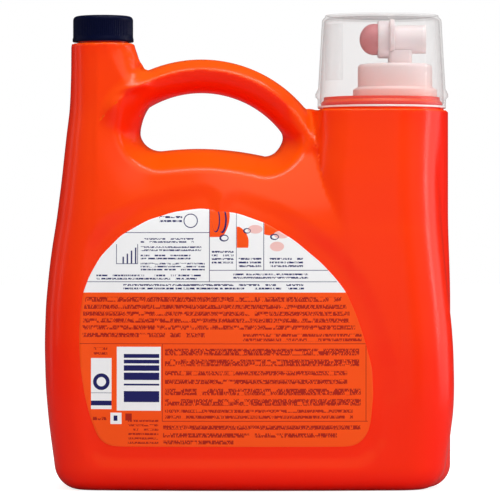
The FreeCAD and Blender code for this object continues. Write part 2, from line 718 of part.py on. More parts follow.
def stem_guide():
    """Spoked hub that keeps the valve stem in line with the seat."""
    stop = GUIDE_FROM + GUIDE_LENGTH
    hub = along_x(GUIDE_HUB_RADIUS, GUIDE_FROM, stop)
    spokes = []
    centre = Vector(TAP_X + GUIDE_FROM, 0, collar_top() + TAP_AXIS_HEIGHT)
    length = (BARREL_BORE + BARREL_RADIUS) / 2
    for index in range(GUIDE_SPOKES):
        corner = centre - ALONG_Y * (GUIDE_SPOKE_WIDTH / 2)
        spoke = Part.makeBox(GUIDE_LENGTH, GUIDE_SPOKE_WIDTH, length, corner)
        spoke.rotate(centre, ALONG_X, 360 * index / GUIDE_SPOKES)
        spokes.append(spoke)
    bore = along_x(STEM_RADIUS + GUIDE_CLEARANCE, GUIDE_FROM - 1, stop + 1)
    return hub.multiFuse(spokes).cut(bore)


def make_tap_body():
    """Skirt, riser, barrel, finger wings, valve seat and stem guide in one moulding."""
    z = collar_top()
    axis = z + TAP_AXIS_HEIGHT
    roof = z + TAP_DRUM_TOP
    riser = rounded_box(RISER_FROM, RISER_TO, RISER_HALF_DEPTH, roof - TAP_ROOF / 2, axis, RISER_ROUNDING)
    solid = tap_skirt().multiFuse(
        [
            riser,
            along_x(BARREL_RADIUS, BARREL_FROM, BARREL_TO),
            along_x(DISC_RADIUS, BARREL_FROM, WING_FROM),
            finger_wings(),
        ]
    )
    passage = rounded_box(
        RISER_FROM + RISER_WALL,
        RISER_TO - RISER_WALL,
        RISER_HALF_DEPTH - RISER_WALL,
        roof - TAP_ROOF - 1,
        axis,
        RISER_ROUNDING - RISER_WALL,
    )
    hollow = solid.cut(passage.fuse(along_x(BARREL_BORE, BARREL_FROM - 1, BARREL_TO + 1)))
    seat = along_x((BARREL_BORE + BARREL_RADIUS) / 2, SEAT_FROM, SEAT_FROM + SEAT_WIDTH)
    seat = seat.cut(along_x(SEAT_BORE, SEAT_FROM - 1, SEAT_FROM + SEAT_WIDTH + 1))
    return fused(hollow, seat, stem_guide())


def make_gasket():
    low = tap_neck_top()
    ring = upright(TAP_NECK_RADIUS, TAP_X, low, low + GASKET_THICKNESS)
    return ring.cut(upright(TAP_BORE_RADIUS, TAP_X, low - 1, low + GASKET_THICKNESS + 1))


def make_button_ring():
    """Ring that holds the button's foot against the barrel's disc."""
    axis = collar_top() + TAP_AXIS_HEIGHT
    stop = TAP_X + BARREL_FROM
    start = stop - RING_LENGTH
    lip = BUTTON_RADIUS + BUTTON_CLEARANCE
    inner = RING_RADIUS - RING_WALL
    outline = [
        (start, lip),
        (start, RING_RADIUS - RING_EDGE),
        (start + RING_EDGE, RING_RADIUS),
        (stop, RING_RADIUS),
        (stop, inner),
        (start + RING_LIP, inner),
        (start + RING_LIP, lip),
    ]
    return turned_x(outline, axis)


def button_tip():
    """Length of the dome's tip from the tap's axis."""
    return BARREL_FROM - RING_LENGTH - BUTTON_REACH


def make_press_button():
    """Soft dome with a foot behind the ring's lip and a boss for the stem."""
    axis = collar_top() + TAP_AXIS_HEIGHT
    tip = TAP_X + button_tip()
    foot = TAP_X + BARREL_FROM - RING_LENGTH + RING_LIP
    foot_radius = RING_RADIUS - RING_WALL - BUTTON_CLEARANCE
    outline = [(tip + BUTTON_DOME * (1 - math.cos(a)), BUTTON_RADIUS * math.sin(a)) for a in quarter_turn(DOME_STEPS)]
    outline += [(foot, BUTTON_RADIUS), (foot, foot_radius)]
    outline += [(foot + BUTTON_FOOT_LENGTH, foot_radius)]
    outline += [(foot + BUTTON_FOOT_LENGTH, BUTTON_RADIUS - BUTTON_WALL)]
    depth = BUTTON_DOME - BUTTON_WALL
    radius = BUTTON_RADIUS - BUTTON_WALL
    inner = [(tip + BUTTON_WALL + depth * (1 - math.cos(a)), radius * math.sin(a)) for a in quarter_turn(DOME_STEPS)]
    outline += list(reversed(inner))
    shell = turned_x(outline, axis)
    boss = along_x(STEM_BOSS_RADIUS, button_tip() + BUTTON_WALL / 2, button_tip() + STEM_BOSS_LENGTH)
    socket = along_x(STEM_RADIUS, button_tip() + BUTTON_WALL, button_tip() + STEM_BOSS_LENGTH + 1)
    return fused(shell, boss).cut(socket)


def quarter_turn(steps):
    """Angles from 0 to a quarter turn."""
    return [math.pi / 2 * step / steps for step in range(steps + 1)]


def seal_start():
    return SEAT_FROM + SEAT_WIDTH + SEAL_GAP


def make_valve_stem():
    return along_x(STEM_RADIUS, button_tip() + BUTTON_WALL, seal_start() + STEM_SPIGOT)


def make_valve_seal():
    """Soft plug that closes the seat from the outlet side."""
    axis = collar_top() + TAP_AXIS_HEIGHT
    start = TAP_X + seal_start()
    stop = start + SEAL_LENGTH
    outline = [(start, 0), (start, SEAL_RADIUS), (start + SEAL_LENGTH / 2, SEAL_RADIUS)]
    outline += [(stop, SEAL_NOSE), (stop, 0)]
    return turned_x(outline, axis).cut(along_x(STEM_RADIUS, seal_start() - 1, seal_start() + STEM_SPIGOT))


def make_dosing_cup():
    """Clear cup, upside down over the tap, as its end and its side, which touch.

    The clip bead inside its rim lies in the collar's groove.
    """
    z = PLATFORM_HEIGHT + COLLAR_FLANGE_HEIGHT + CUP_RIM_LIFT
    end = CUP_CEILING_HEIGHT + CUP_WALL
    ring = CUP_FOOT_RADIUS - CUP_FOOT_WIDTH
    clip = COLLAR_BEAD_RADIUS + CUP_CLIP_CLEARANCE
    bore = CUP_RIM_RADIUS - CUP_WALL
    lead = bore - clip
    outline = [
        (CUP_RIM_RADIUS, 0),
        (CUP_RIM_RADIUS, CUP_RIM_HEIGHT),
        (CUP_FLARE_RADIUS, CUP_FLARE_FROM),
        (CUP_FLARE_RADIUS, CUP_FLARE_TO),
        (CUP_WAIST_RADIUS, CUP_WAIST_HEIGHT),
        (CUP_CROWN_RADIUS, CUP_CROWN_HEIGHT),
        (CUP_FOOT_RADIUS, CUP_CROWN_HEIGHT + CUP_EDGE),
        (CUP_FOOT_RADIUS, end + CUP_FOOT_HEIGHT),
        (ring, end + CUP_FOOT_HEIGHT),
        (ring, end),
        (0, end),
        (0, CUP_CEILING_HEIGHT),
        (CUP_CROWN_RADIUS - CUP_WALL - CUP_EDGE, CUP_CEILING_HEIGHT),
        (CUP_CROWN_RADIUS - CUP_WALL, CUP_CEILING_HEIGHT - CUP_EDGE),
        (CUP_WAIST_RADIUS - CUP_WALL, CUP_WAIST_HEIGHT),
        (bore, CUP_CLIP_TO + lead),
        (clip, CUP_CLIP_TO),
        (clip, CUP_CLIP_FROM),
        (bore, CUP_CLIP_FROM - lead),
        (bore, 0),
    ]
    cup = turned_z([(r, z + h) for r, h in outline], COLLAR_X)
    reach = CUP_FLARE_RADIUS + TRIM
    return sectioned(cup, [level_sheet(z + CUP_CEILING_HEIGHT, COLLAR_X - reach, COLLAR_X + reach)])


def main():
    os.makedirs("parts", exist_ok=True)
    parts = {
        "bottle": make_bottle(),
        "back_label": make_label(-1),
        "front_label": make_label(1),
        "vent_cap": make_vent_cap(),
        "vent_cap_liner": make_vent_liner(),
        "tap_body": make_tap_body(),
        "tap_gasket": make_gasket(),
        "button_ring": make_button_ring(),
        "press_button": make_press_button(),
        "valve_stem": make_valve_stem(),
        "valve_seal": make_valve_seal(),
        "dosing_cup": make_dosing_cup(),
    }
    for name, shape in parts.items():
        shape.exportStep("parts/" + name + ".step")


main()
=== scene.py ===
"""Looks of a large laundry detergent bottle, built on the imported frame.

The bottle's skin is meshed from a smooth field: a rounded body with a grip opening, a broad
column with a rounded flank and an arched handle, all blended softly. Necks, caps, the press tap
and the dosing cup are turned and bevelled meshes. Sizes are in millimetres until a mesh is made.
"""

import logging
import math
from collections.abc import Iterable, Mapping, Sequence
from dataclasses import dataclass, field
from enum import Enum
from functools import reduce
from typing import Any

import bpy
import numpy as np
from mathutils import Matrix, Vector

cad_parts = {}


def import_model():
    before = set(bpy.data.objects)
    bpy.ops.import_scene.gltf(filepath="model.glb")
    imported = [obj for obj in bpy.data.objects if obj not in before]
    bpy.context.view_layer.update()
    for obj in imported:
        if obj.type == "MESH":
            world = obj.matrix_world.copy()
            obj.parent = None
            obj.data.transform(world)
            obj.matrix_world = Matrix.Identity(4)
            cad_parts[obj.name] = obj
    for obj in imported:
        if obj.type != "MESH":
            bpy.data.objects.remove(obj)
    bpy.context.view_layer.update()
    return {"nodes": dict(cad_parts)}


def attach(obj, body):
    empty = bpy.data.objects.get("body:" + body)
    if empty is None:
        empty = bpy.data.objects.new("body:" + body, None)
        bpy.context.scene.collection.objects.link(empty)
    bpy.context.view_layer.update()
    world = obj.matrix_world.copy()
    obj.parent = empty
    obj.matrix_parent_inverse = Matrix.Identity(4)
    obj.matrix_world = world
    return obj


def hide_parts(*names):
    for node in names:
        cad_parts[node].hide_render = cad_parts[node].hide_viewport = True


log = logging.getLogger("detergent_bottle")

MM = 0.001
PER_METRE = 1000.0
Array = np.ndarray
Point = tuple[float, float]
Colour = tuple[float, float, float]


class Body(Enum):
    """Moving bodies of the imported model."""

    BOTTLE = "bottle"
    VENT_CAP = "vent_cap"
    PUSH_BUTTON = "push_button"
    DOSING_CUP = "dosing_cup"


class Side(Enum):
    """Faces of the bottle: the back is seen in the front view along +Y."""

    BACK = -1
    FRONT = 1


class Turn(Enum):
    """Axes that a profile is turned about."""

    UPRIGHT = "z"
    LEVEL = "x"


# Shader kit


@dataclass
class Signal:
    """Value on its way through a shader, on which Python's operators add Math nodes."""

    sheet: "NodeSheet"
    socket: Any

    def math(self, operation: str, *others: "Signal | float") -> "Signal":
        """Result of a Math node on this value and others.

        Args:
            operation: Name of the node's operation.
            others: Its further operands.

        Returns:
            The node's output.
        """
        inputs = dict(enumerate((self, *others)))
        made = self.sheet.node("ShaderNodeMath", {"operation": operation}, inputs)
        return self.sheet.output(made, 0)

    def __add__(self, other: "Signal | float") -> "Signal":
        """Sum."""
        return self.math("ADD", other)

    def __mul__(self, other: "Signal | float") -> "Signal":
        """Product."""
        return self.math("MULTIPLY", other)

    def __sub__(self, other: "Signal | float") -> "Signal":
        """Difference."""
        return self.math("SUBTRACT", other)

    def __rsub__(self, other: float) -> "Signal":
        """Difference from a plain number."""
        return (self * -1.0) + other

    def __truediv__(self, other: float) -> "Signal":
        """Quotient by a plain number."""
        return self * (1.0 / other)

    def __mod__(self, other: float) -> "Signal":
        """Remainder that is never negative."""
        return self.math("FLOORED_MODULO", other)

    def __gt__(self, other: "Signal | float") -> "Signal":
        """1 where this value is the larger."""
        return self.math("GREATER_THAN", other)

    __radd__ = __add__
    __rmul__ = __mul__

    def near(self, middle: "Signal | float", reach: float) -> "Signal":
        """1 where this value is within reach of a middle value."""
        return self.math("COMPARE", middle, reach)

    def floored(self) -> "Signal":
        """Whole number below this value."""
        return self.math("FLOOR")

    def power(self, exponent: float) -> "Signal":
        """This value to an exponent."""
        return self.math("POWER", exponent)

    def positive(self) -> "Signal":
        """This value, or 0 where it is negative."""
        return self.math("MAXIMUM", 0.0)

    def share(self) -> "Signal":
        """This value held between 0 and 1."""
        return self.positive().math("MINIMUM", 1.0)

    def either(self, other: "Signal") -> "Signal":
        """Larger of two values, which joins two masks."""
        return self.math("MAXIMUM", other)


class NodeSheet:
    """Material being drawn as nodes."""

    def __init__(self, name: str) -> None:
        """Start an empty node material under a name."""
        self.material = bpy.data.materials.new(name)
        self.material.use_nodes = True
        self.tree = self.material.node_tree
        self.tree.nodes.clear()

    def node(
        self, kind: str, settings: Mapping[str, Any] | None = None, inputs: Mapping | None = None
    ) -> Any:
        """Add a node.

        Args:
            kind: Type of the node.
            settings: Properties that are set first. "stops" gives a ramp's positions and colours.
            inputs: Values or signals by the name or number of their sockets.

        Returns:
            The new node.
        """
        made = self.tree.nodes.new(kind)
        for name, value in (settings or {}).items():
            if name == "stops":
                self._set_stops(made.color_ramp.elements, value)
            else:
                setattr(made, name, value)
        for key, value in (inputs or {}).items():
            if isinstance(value, Signal):
                self.tree.links.new(value.socket, made.inputs[key])
            elif made.inputs[key].type == "RGBA" and len(value) == 3:
                made.inputs[key].default_value = (*value, 1.0)
            else:
                made.inputs[key].default_value = value
        return made

    @staticmethod
    def _set_stops(elements: Any, stops: Sequence[tuple[float, Colour]]) -> None:
        """Fill a colour ramp with stops."""
        while len(elements) < len(stops):
            elements.new(0.5)
        for element, (position, colour) in zip(elements, stops):
            element.position = position
            element.color = (*colour, 1.0)

    def output(self, made: Any, key: str | int) -> Signal:
        """Signal of one output of a node."""
        return Signal(self, made.outputs[key])

    def place(self, scale: float = 1.0) -> tuple[Signal, ...]:
        """Place on the object in metres, or in a finer unit, as three signals."""
        coordinates = self.node("ShaderNodeTexCoord")
        parts = self.split(self.output(coordinates, "Object"))
        return parts if scale == 1.0 else tuple(part * scale for part in parts)

    def facing(self) -> tuple[Signal, Signal, Signal]:
        """Direction of the surface on the object, as three signals."""
        coordinates = self.node("ShaderNodeTexCoord")
        return self.split(self.output(coordinates, "Normal"))

    def split(self, vector: Signal) -> tuple[Signal, Signal, Signal]:
        """Three parts of a vector."""
        made = self.node("ShaderNodeSeparateXYZ", None, {0: vector})
        return self.output(made, 0), self.output(made, 1), self.output(made, 2)

    def joined(self, x: Signal | float, y: Signal | float, z: Signal | float) -> Signal:
        """Vector of three parts."""
        return self.output(self.node("ShaderNodeCombineXYZ", None, {0: x, 1: y, 2: z}), 0)

    def noise(self, scale: float, detail: float, vector: Signal | None = None) -> Signal:
        """Cloudy pattern between 0 and 1.

        Args:
            scale: Features in a metre.
            detail: Octaves.
            vector: Place to look it up at; the place on the object if left out.

        Returns:
            The pattern's value.
        """
        if vector is None:
            vector = self.output(self.node("ShaderNodeTexCoord"), "Object")
        inputs = {"Vector": vector, "Scale": scale, "Detail": detail}
        return self.output(self.node("ShaderNodeTexNoise", None, inputs), 0)

    def dice(self, x: Signal, y: Signal | float) -> Signal:
        """Random number between 0 and 1 for each pair of values."""
        pair = self.joined(x, y, 0.0)
        return self.output(self.node("ShaderNodeTexWhiteNoise", {"noise_dimensions": "2D"}, {0: pair}), 0)

    def mixed(self, share: Signal | float, first: "Signal | Colour", second: "Signal | Colour") -> Signal:
        """Colour between two colours.

        Args:
            share: 0 for the first colour, 1 for the second.
            first: Colour at 0.
            second: Colour at 1.

        Returns:
            The mixed colour.
        """
        inputs = {0: share, 6: first, 7: second}
        return self.output(self.node("ShaderNodeMix", {"data_type": "RGBA"}, inputs), 2)

    def bump(self, height: Signal, depth: float, strength: float = 1.0) -> Signal:
        """Normal of a surface with fine relief.

        Args:
            height: Relief between 0 and 1.
            depth: Height of the relief in metres.
            strength: Share of the relief that is shown.

        Returns:
            The normal.
        """
        inputs = {"Height": height, "Distance": depth, "Strength": strength}
        return self.output(self.node("ShaderNodeBump", None, inputs), 0)

    def finish(self, inputs: Mapping[str, Any]) -> bpy.types.Material:
        """End the material in a Principled shader.

        Args:
            inputs: Values or signals by socket name; colours have three parts.

        Returns:
            The finished material.
        """
        shader = self.node("ShaderNodeBsdfPrincipled", None, inputs)
        return self.close(self.output(shader, 0))

    def close(self, surface: Signal) -> bpy.types.Material:
        """Connect a surface to the material's output."""
        self.node("ShaderNodeOutputMaterial", None, {0: surface})
        return self.material


# Finishes


@dataclass(frozen=True)
class BottleFinish:
    """Satin coloured polyethylene, with painted top light that makes it a little more yellow where it faces
    up and painted shade that makes it deeper red where it faces down and on its outer sides.
    """

    slot: str = "bottle_plastic"
    # The first colour is the plain skin. The second is painted top light on upward faces. The third is
    # painted shade on downward faces and outer sides, and also the dark tone of the faint random clouds.
    front: Colour = (1.0, 0.024, 0.0005)
    top_light_colour: Colour = (1.0, 0.115, 0.001)
    shade_and_cloud_red: Colour = (1.0, 0.004, 0.0005)
    roughness: float = 0.24
    # The three side values place and weigh the painted shade on the outer sides.
    side_shade_start: float = 0.095
    side_shade_reach: float = 0.02
    side_shade_share: float = 0.6
    cloud_share: float = 0.2
    relief: float = 0.00025

    def _colour(self, sheet: NodeSheet, x: Signal) -> Signal:
        """Colour by the way the skin faces, with painted top light, painted shade and faint clouds.

        Args:
            sheet: Material that is drawn.
            x: Metres across.

        Returns:
            The colour.
        """
        across, _, up = sheet.facing()
        # Painted top light grows where the skin faces up, and painted shade grows where it faces down.
        lift = up.positive()
        drop = (up * -1.0).positive()
        # Painted shade on the outer sides, where the skin faces left or right.
        outside = ((x.math("ABSOLUTE") - self.side_shade_start) / self.side_shade_reach).share()
        side = across.math("ABSOLUTE") * outside
        base = sheet.mixed(lift.power(0.8), self.front, self.top_light_colour)
        base = sheet.mixed(side.power(1.3) * self.side_shade_share, base, self.shade_and_cloud_red)
        base = sheet.mixed(drop.power(1.15), base, self.shade_and_cloud_red)
        cloud = sheet.noise(14.0, 2.0)
        return sheet.mixed((cloud - 0.5) * self.cloud_share + 0.05, base, self.shade_and_cloud_red)

    def material(self) -> bpy.types.Material:
        """Node material of the bottle's skin."""
        sheet = NodeSheet("bottle_skin")
        x, _, z = sheet.place()
        base = self._colour(sheet, x)
        grain = sheet.noise(900.0, 3.0)
        waves = sheet.noise(55.0, 2.0)
        scuffs = sheet.noise(160.0, 4.0, sheet.joined(x * 0.25, z, 0.0))
        relief = waves * 0.75 + grain * 0.25
        return sheet.finish(
            {
                "Base Color": base,
                "Roughness": scuffs * 0.08 + grain * 0.05 + (self.roughness - 0.065),
                "Specular IOR Level": 0.25,
                "IOR": 1.5,
                "Normal": sheet.bump(relief, self.relief, 0.35),
            }
        )


@dataclass(frozen=True)
class CapFinish:
    """Semi-gloss navy plastic, nearly black."""

    slot: str = "cap_plastic"
    colour: Colour = (0.0018, 0.0030, 0.021)
    worn: Colour = (0.004, 0.006, 0.032)

    def material(self) -> bpy.types.Material:
        """Node material of the vent cap."""
        sheet = NodeSheet("navy_cap")
        grain = sheet.noise(1400.0, 3.0)
        cloud = sheet.noise(60.0, 3.0)
        return sheet.finish(
            {
                "Base Color": sheet.mixed(cloud.power(3.0), self.colour, self.worn),
                "Roughness": grain * 0.12 + 0.3,
                "Specular IOR Level": 0.08,
                "Normal": sheet.bump(grain, 0.00006, 0.4),
            }
        )


@dataclass(frozen=True)
class MouldedFinish:
    """Plain moulded plastic or rubber with a fine grain and faint flow marks."""

    name: str
    slot: str
    colour: Colour
    shade: Colour
    roughness: float
    grain: float = 0.00005

    def material(self) -> bpy.types.Material:
        """Node material of the piece."""
        sheet = NodeSheet(self.name)
        x, y, z = sheet.place()
        flow = sheet.noise(70.0, 3.0, sheet.joined(x, y, z * 0.3))
        grain = sheet.noise(1500.0, 2.0)
        return sheet.finish(
            {
                "Base Color": sheet.mixed(flow, self.colour, self.shade),
                "Roughness": grain * 0.1 + (self.roughness - 0.05),
                "Normal": sheet.bump(grain, self.grain, 0.5),
            }
        )


@dataclass(frozen=True)
class TapFinish:
    """Milky plastic, pinker near its foot where painted orange bounce light from the bottle is mixed into
    its colour.
    """

    slot: str = "tap_plastic"
    upper: Colour = (0.90, 0.78, 0.78)
    # The colour below is painted orange bounce light from the bottle, shown at the tap's foot.
    lower: Colour = (1.0, 0.57, 0.51)
    foot: float = 247.0
    reach: float = 30.0
    scatter: Colour = (0.004, 0.002, 0.0015)

    def material(self) -> bpy.types.Material:
        """Node material of the tap."""
        sheet = NodeSheet("milky_tap")
        _, _, z = sheet.place(PER_METRE)
        # Painted orange bounce light fades out upwards from the tap's foot.
        rise = ((z - self.foot) / self.reach).share()
        flow = sheet.noise(70.0, 3.0) * 0.1 - 0.05
        grain = sheet.noise(1500.0, 2.0)
        return sheet.finish(
            {
                "Base Color": sheet.mixed(rise.power(0.7) + flow, self.lower, self.upper),
                "Roughness": grain * 0.1 + 0.37,
                "Subsurface Weight": 0.15,
                "Subsurface Radius": self.scatter,
                "Subsurface Scale": 1.0,
                "Specular IOR Level": 0.3,
                "Normal": sheet.bump(grain, 0.00005, 0.5),
            }
        )


@dataclass(frozen=True)
class ClearFinish:
    """Clear moulded cup: almost unseen where it faces the viewer and grey along its edges.

    A painted highlight brightens its foot, and a frosted strip on one side carries its measuring scale.
    """

    slot: str = "cup_plastic"
    colour: Colour = (0.55, 0.51, 0.51)
    rippled: Colour = (0.60, 0.56, 0.56)
    # The colour below is a painted highlight for the band round the cup's foot.
    foot_highlight: Colour = (1.0, 0.96, 0.95)
    thin: float = 0.07
    edge: float = 0.52
    foot: tuple[float, float] = (241.5, 243.2)
    scale_across: tuple[float, float] = (48.0, 59.0)
    scale_up: tuple[float, float] = (259.0, 295.0)
    frost: float = 0.08

    def material(self) -> bpy.types.Material:
        """Node material of the dosing cup."""
        sheet = NodeSheet("clear_cup")
        grazing = sheet.output(sheet.node("ShaderNodeLayerWeight", None, {"Blend": 0.35}), "Facing")
        ripple = sheet.noise(120.0, 2.0)
        x, y, z = sheet.place(PER_METRE)
        # Band of painted highlight round the foot: more opaque and near white.
        foot = z.near(sum(self.foot) / 2, (self.foot[1] - self.foot[0]) / 2)
        scale = Field(*self.scale_across, *self.scale_up).mask(x, z) * (1.0 - (y > 0.0))
        alpha = grazing.power(2.2) * (self.edge - self.thin) + self.thin
        alpha = alpha + foot * 0.6 + scale * self.frost
        colour = sheet.mixed(ripple, self.colour, self.rippled)
        return sheet.finish(
            {
                "Base Color": sheet.mixed(foot, colour, self.foot_highlight),
                "Roughness": ripple * 0.05 + 0.06,
                "Alpha": alpha,
                "Specular IOR Level": 0.5,
                "Normal": sheet.bump(ripple, 0.0002, 0.15),
            }
        )


@dataclass(frozen=True)
class FloorFinish:
    """Pale floor that looks white to the viewer, keeps the shadow and is dim in reflections."""

    paint: float = 0.60
    lift: float = 0.80
    mirrored: float = 0.35

    def material(self) -> bpy.types.Material:
        """Node material of the floor."""
        sheet = NodeSheet("pale_floor")
        seen = sheet.node("ShaderNodeLightPath")
        direct = sheet.output(seen, "Is Camera Ray").either(sheet.output(seen, "Is Transmission Ray"))
        cloud = sheet.noise(3.0, 2.0) * 0.01 + (self.paint - 0.005)
        cloud = cloud * (1.0 - sheet.output(seen, "Is Glossy Ray") * (1.0 - self.mirrored))
        paint = sheet.node("ShaderNodeBsdfDiffuse", None, {0: sheet.joined(cloud, cloud, cloud)})
        glow = sheet.node("ShaderNodeEmission", None, {"Strength": direct * self.lift})
        layers = {0: sheet.output(paint, 0), 1: sheet.output(glow, 0)}
        return sheet.close(sheet.output(sheet.node("ShaderNodeAddShader", None, layers), 0))


# Label print


def any_of(masks: Iterable[Signal]) -> Signal:
    """1 where any of the masks is 1."""
    return reduce(Signal.either, masks)


@dataclass(frozen=True)
class Field:
    """Upright rectangle on the label, in millimetres across and up."""

    left: float
    right: float
    low: float
    high: float

    def mask(self, x: Signal, z: Signal) -> Signal:
        """1 inside the rectangle."""
        across = x.near((self.left + self.right) / 2, (self.right - self.left) / 2)
        return across * z.near((self.low + self.high) / 2, (self.high - self.low) / 2)


@dataclass(frozen=True)
class Oval:
    """Ellipse on the label."""

    x: float
    z: float
    half_width: float
    half_height: float

    def mask(self, x: Signal, z: Signal) -> Signal:
        """1 inside the ellipse."""
        across = ((x - self.x) / self.half_width).power(2.0)
        along = ((z - self.z) / self.half_height).power(2.0)
        return 1.0 - (across + along > 1.0)


@dataclass(frozen=True)
class Stroke:
    """What an outer ellipse has beyond an inner one."""

    outer: Oval
    inner: Oval

    def mask(self, x: Signal, z: Signal) -> Signal:
        """1 on the stroke."""
        return self.outer.mask(x, z) * (1.0 - self.inner.mask(x, z))


@dataclass(frozen=True)
class Lines:
    """Block of small marks that stand for text and spell nothing."""

    area: Field
    count: int
    weight: float = 0.5

    def mask(self, x: Signal, z: Signal, marks: Signal) -> Signal:
        """1 on the marks."""
        pitch = (self.area.high - self.area.low) / self.count
        row = ((z - self.area.low) % pitch).near(pitch / 2, pitch * self.weight / 2)
        return self.area.mask(x, z) * row * marks


@dataclass(frozen=True)
class LabelFinish:
    """Printed film: a white upper field, an orange lower field and generic marks."""

    slot: str = "label_film"
    split: float = 124.8
    white: Colour = (0.93, 0.93, 0.94)
    orange: Colour = (1.0, 0.085, 0.001)
    navy: Colour = (0.012, 0.012, 0.12)
    dark_red: Colour = (0.42, 0.014, 0.002)
    pink: Colour = (0.90, 0.55, 0.52)

    rules: tuple[Field, ...] = (
        Field(-25.3, -24.9, 131.5, 178.0),
        Field(-8.4, -8.1, 138.7, 178.0),
        Field(8.7, 9.1, 138.7, 178.0),
        Field(-79.1, -25.1, 162.1, 162.5),
        Field(-25.1, 49.0, 138.5, 138.9),
        Field(-101.7, 54.5, 131.3, 131.7),
    )
    small_text: tuple[Lines, ...] = (
        Lines(Field(-56.6, -42.2, 168.3, 173.3), 2),
        Lines(Field(-68.2, -35.0, 155.5, 159.3), 2),
        Lines(Field(-68.2, -30.0, 150.3, 154.1), 2),
        Lines(Field(-68.2, -37.0, 145.1, 148.9), 2),
        Lines(Field(-68.2, -28.0, 138.2, 143.8), 3),
        Lines(Field(-96.0, -30.5, 132.4, 136.5), 2),
        Lines(Field(-10.3, 36.6, 133.0, 137.2), 2),
        Lines(Field(-79.1, 34.1, 126.2, 130.6), 2),
        Lines(Field(-23.6, -10.0, 142.4, 151.4), 4),
        Lines(Field(-6.8, 7.4, 140.2, 147.0), 3),
        Lines(Field(12.6, 33.4, 140.2, 147.0), 3),
    )
    red_text: tuple[Lines, ...] = (
        Lines(Field(-102.9, 57.5, 118.0, 123.0), 1, 0.6),
        Lines(Field(-103.6, 60.5, 113.7, 118.0), 1, 0.6),
        Lines(Field(-104.2, 62.5, 105.1, 113.7), 2, 0.6),
        Lines(Field(-104.6, 66.0, 100.8, 105.1), 1, 0.6),
        Lines(Field(-104.8, -28.0, 96.0, 100.4), 1, 0.6),
        Lines(Field(-4.0, 70.0, 93.8, 99.6), 2, 0.6),
        Lines(Field(-97.5, -89.0, 85.2, 91.2), 2, 0.5),
        Lines(Field(-98.0, -89.5, 44.0, 48.0), 1, 0.5),
        Lines(Field(-76.0, -57.0, 29.5, 46.0), 6, 0.45),
        Lines(Field(-54.0, 71.5, 38.4, 42.6), 1, 0.6),
        Lines(Field(-54.0, 55.0, 33.4, 37.8), 1, 0.6),
        Lines(Field(-54.0, -10.0, 29.2, 33.2), 1, 0.6),
    )
    bold_text: tuple[Lines, ...] = (
        Lines(Field(-52.8, 68.5, 77.6, 91.0), 2, 0.62),
        Lines(Field(-52.8, 61.0, 66.4, 77.2), 2, 0.5),
        Lines(Field(-52.8, 69.5, 53.0, 66.0), 2, 0.62),
        Lines(Field(-52.8, 64.5, 45.2, 52.6), 2, 0.5),
    )
    red_rules: tuple[Field, ...] = (
        Field(-106.3, 73.2, 92.6, 93.0),
        Field(-54.7, -54.3, 44.4, 92.8),
        Field(-54.5, 73.9, 44.2, 44.6),
        Field(72.6, 73.0, 44.4, 92.8),
    )
    white_boxes: tuple[Field, ...] = (
        Field(-99.2, -86.3, 51.9, 83.8),
        Field(-83.0, -55.4, 51.0, 90.9),
        Field(-87.0, -80.0, 42.6, 49.7),
    )
    navy_boxes: tuple[Field, ...] = (
        Field(-99.2, -86.3, 54.2, 57.2),
        Field(-99.2, -86.3, 61.9, 62.2),
        Field(-85.0, -82.6, 44.6, 47.9),
    )
    orange_shapes: tuple[tuple[Field, Oval], ...] = (
        (Field(-25.0, -8.4, 159.5, 178.0), Oval(-25.0, 173.0, 12.6, 17.0)),
        (Field(-8.0, -0.6, 152.8, 166.0), Oval(-11.0, 156.0, 10.5, 11.0)),
        (Field(9.2, 24.0, 160.5, 170.6), Oval(13.0, 168.0, 9.5, 7.4)),
    )
    pink_shapes: tuple[Oval, ...] = (
        Oval(3.6, 164.4, 4.6, 2.7),
        Oval(20.0, 161.0, 4.8, 2.4),
        Oval(17.2, 153.6, 4.4, 3.0),
    )
    strokes: tuple[Stroke, ...] = (
        Stroke(Oval(-21.0, 170.0, 2.6, 7.5), Oval(-21.4, 170.4, 2.2, 7.2)),
        Stroke(Oval(-17.0, 170.0, 2.8, 8.0), Oval(-17.9, 170.6, 2.6, 7.7)),
        Stroke(Oval(-16.0, 158.9, 2.9, 2.2), Oval(-15.7, 158.9, 2.088, 1.452)),
        Stroke(Oval(-1.6, 163.4, 2.4, 1.7), Oval(-1.3, 163.4, 1.728, 1.122)),
        Stroke(Oval(15.6, 159.6, 2.8, 1.9), Oval(15.9, 159.6, 2.016, 1.254)),
        Stroke(Oval(-36.9, 169.7, 4.5, 4.5), Oval(-36.9, 169.7, 3.9, 3.9)),
        Stroke(Oval(-92.7, 69.0, 5.2, 5.2), Oval(-92.7, 69.0, 2.9, 2.9)),
    )
    dark_square: Field = Field(-77.6, -73.6, 44.8, 49.2)
    stripes: Field = Field(-78.6, -56.4, 55.6, 86.4)
    stripe_pitch: float = 1.15
    stripe_gaps: float = 0.42
    beaker: Field = Field(-83.6, -69.9, 142.6, 155.1)
    beaker_wall: float = 0.4
    letter: Point = (0.42, 0.9)
    letter_gaps: float = 0.3
    word: Point = (3.3, 2.1)
    word_gaps: float = 0.1

    def _marks(self, sheet: NodeSheet, x: Signal, z: Signal) -> Signal:
        """1 on small random marks in word-like groups."""
        letters = sheet.dice((x / self.letter[0]).floored(), (z / self.letter[1]).floored())
        words = sheet.dice((x / self.word[0]).floored(), (z / self.word[1]).floored() * 7.0)
        return (letters > self.letter_gaps) * (words > self.word_gaps)

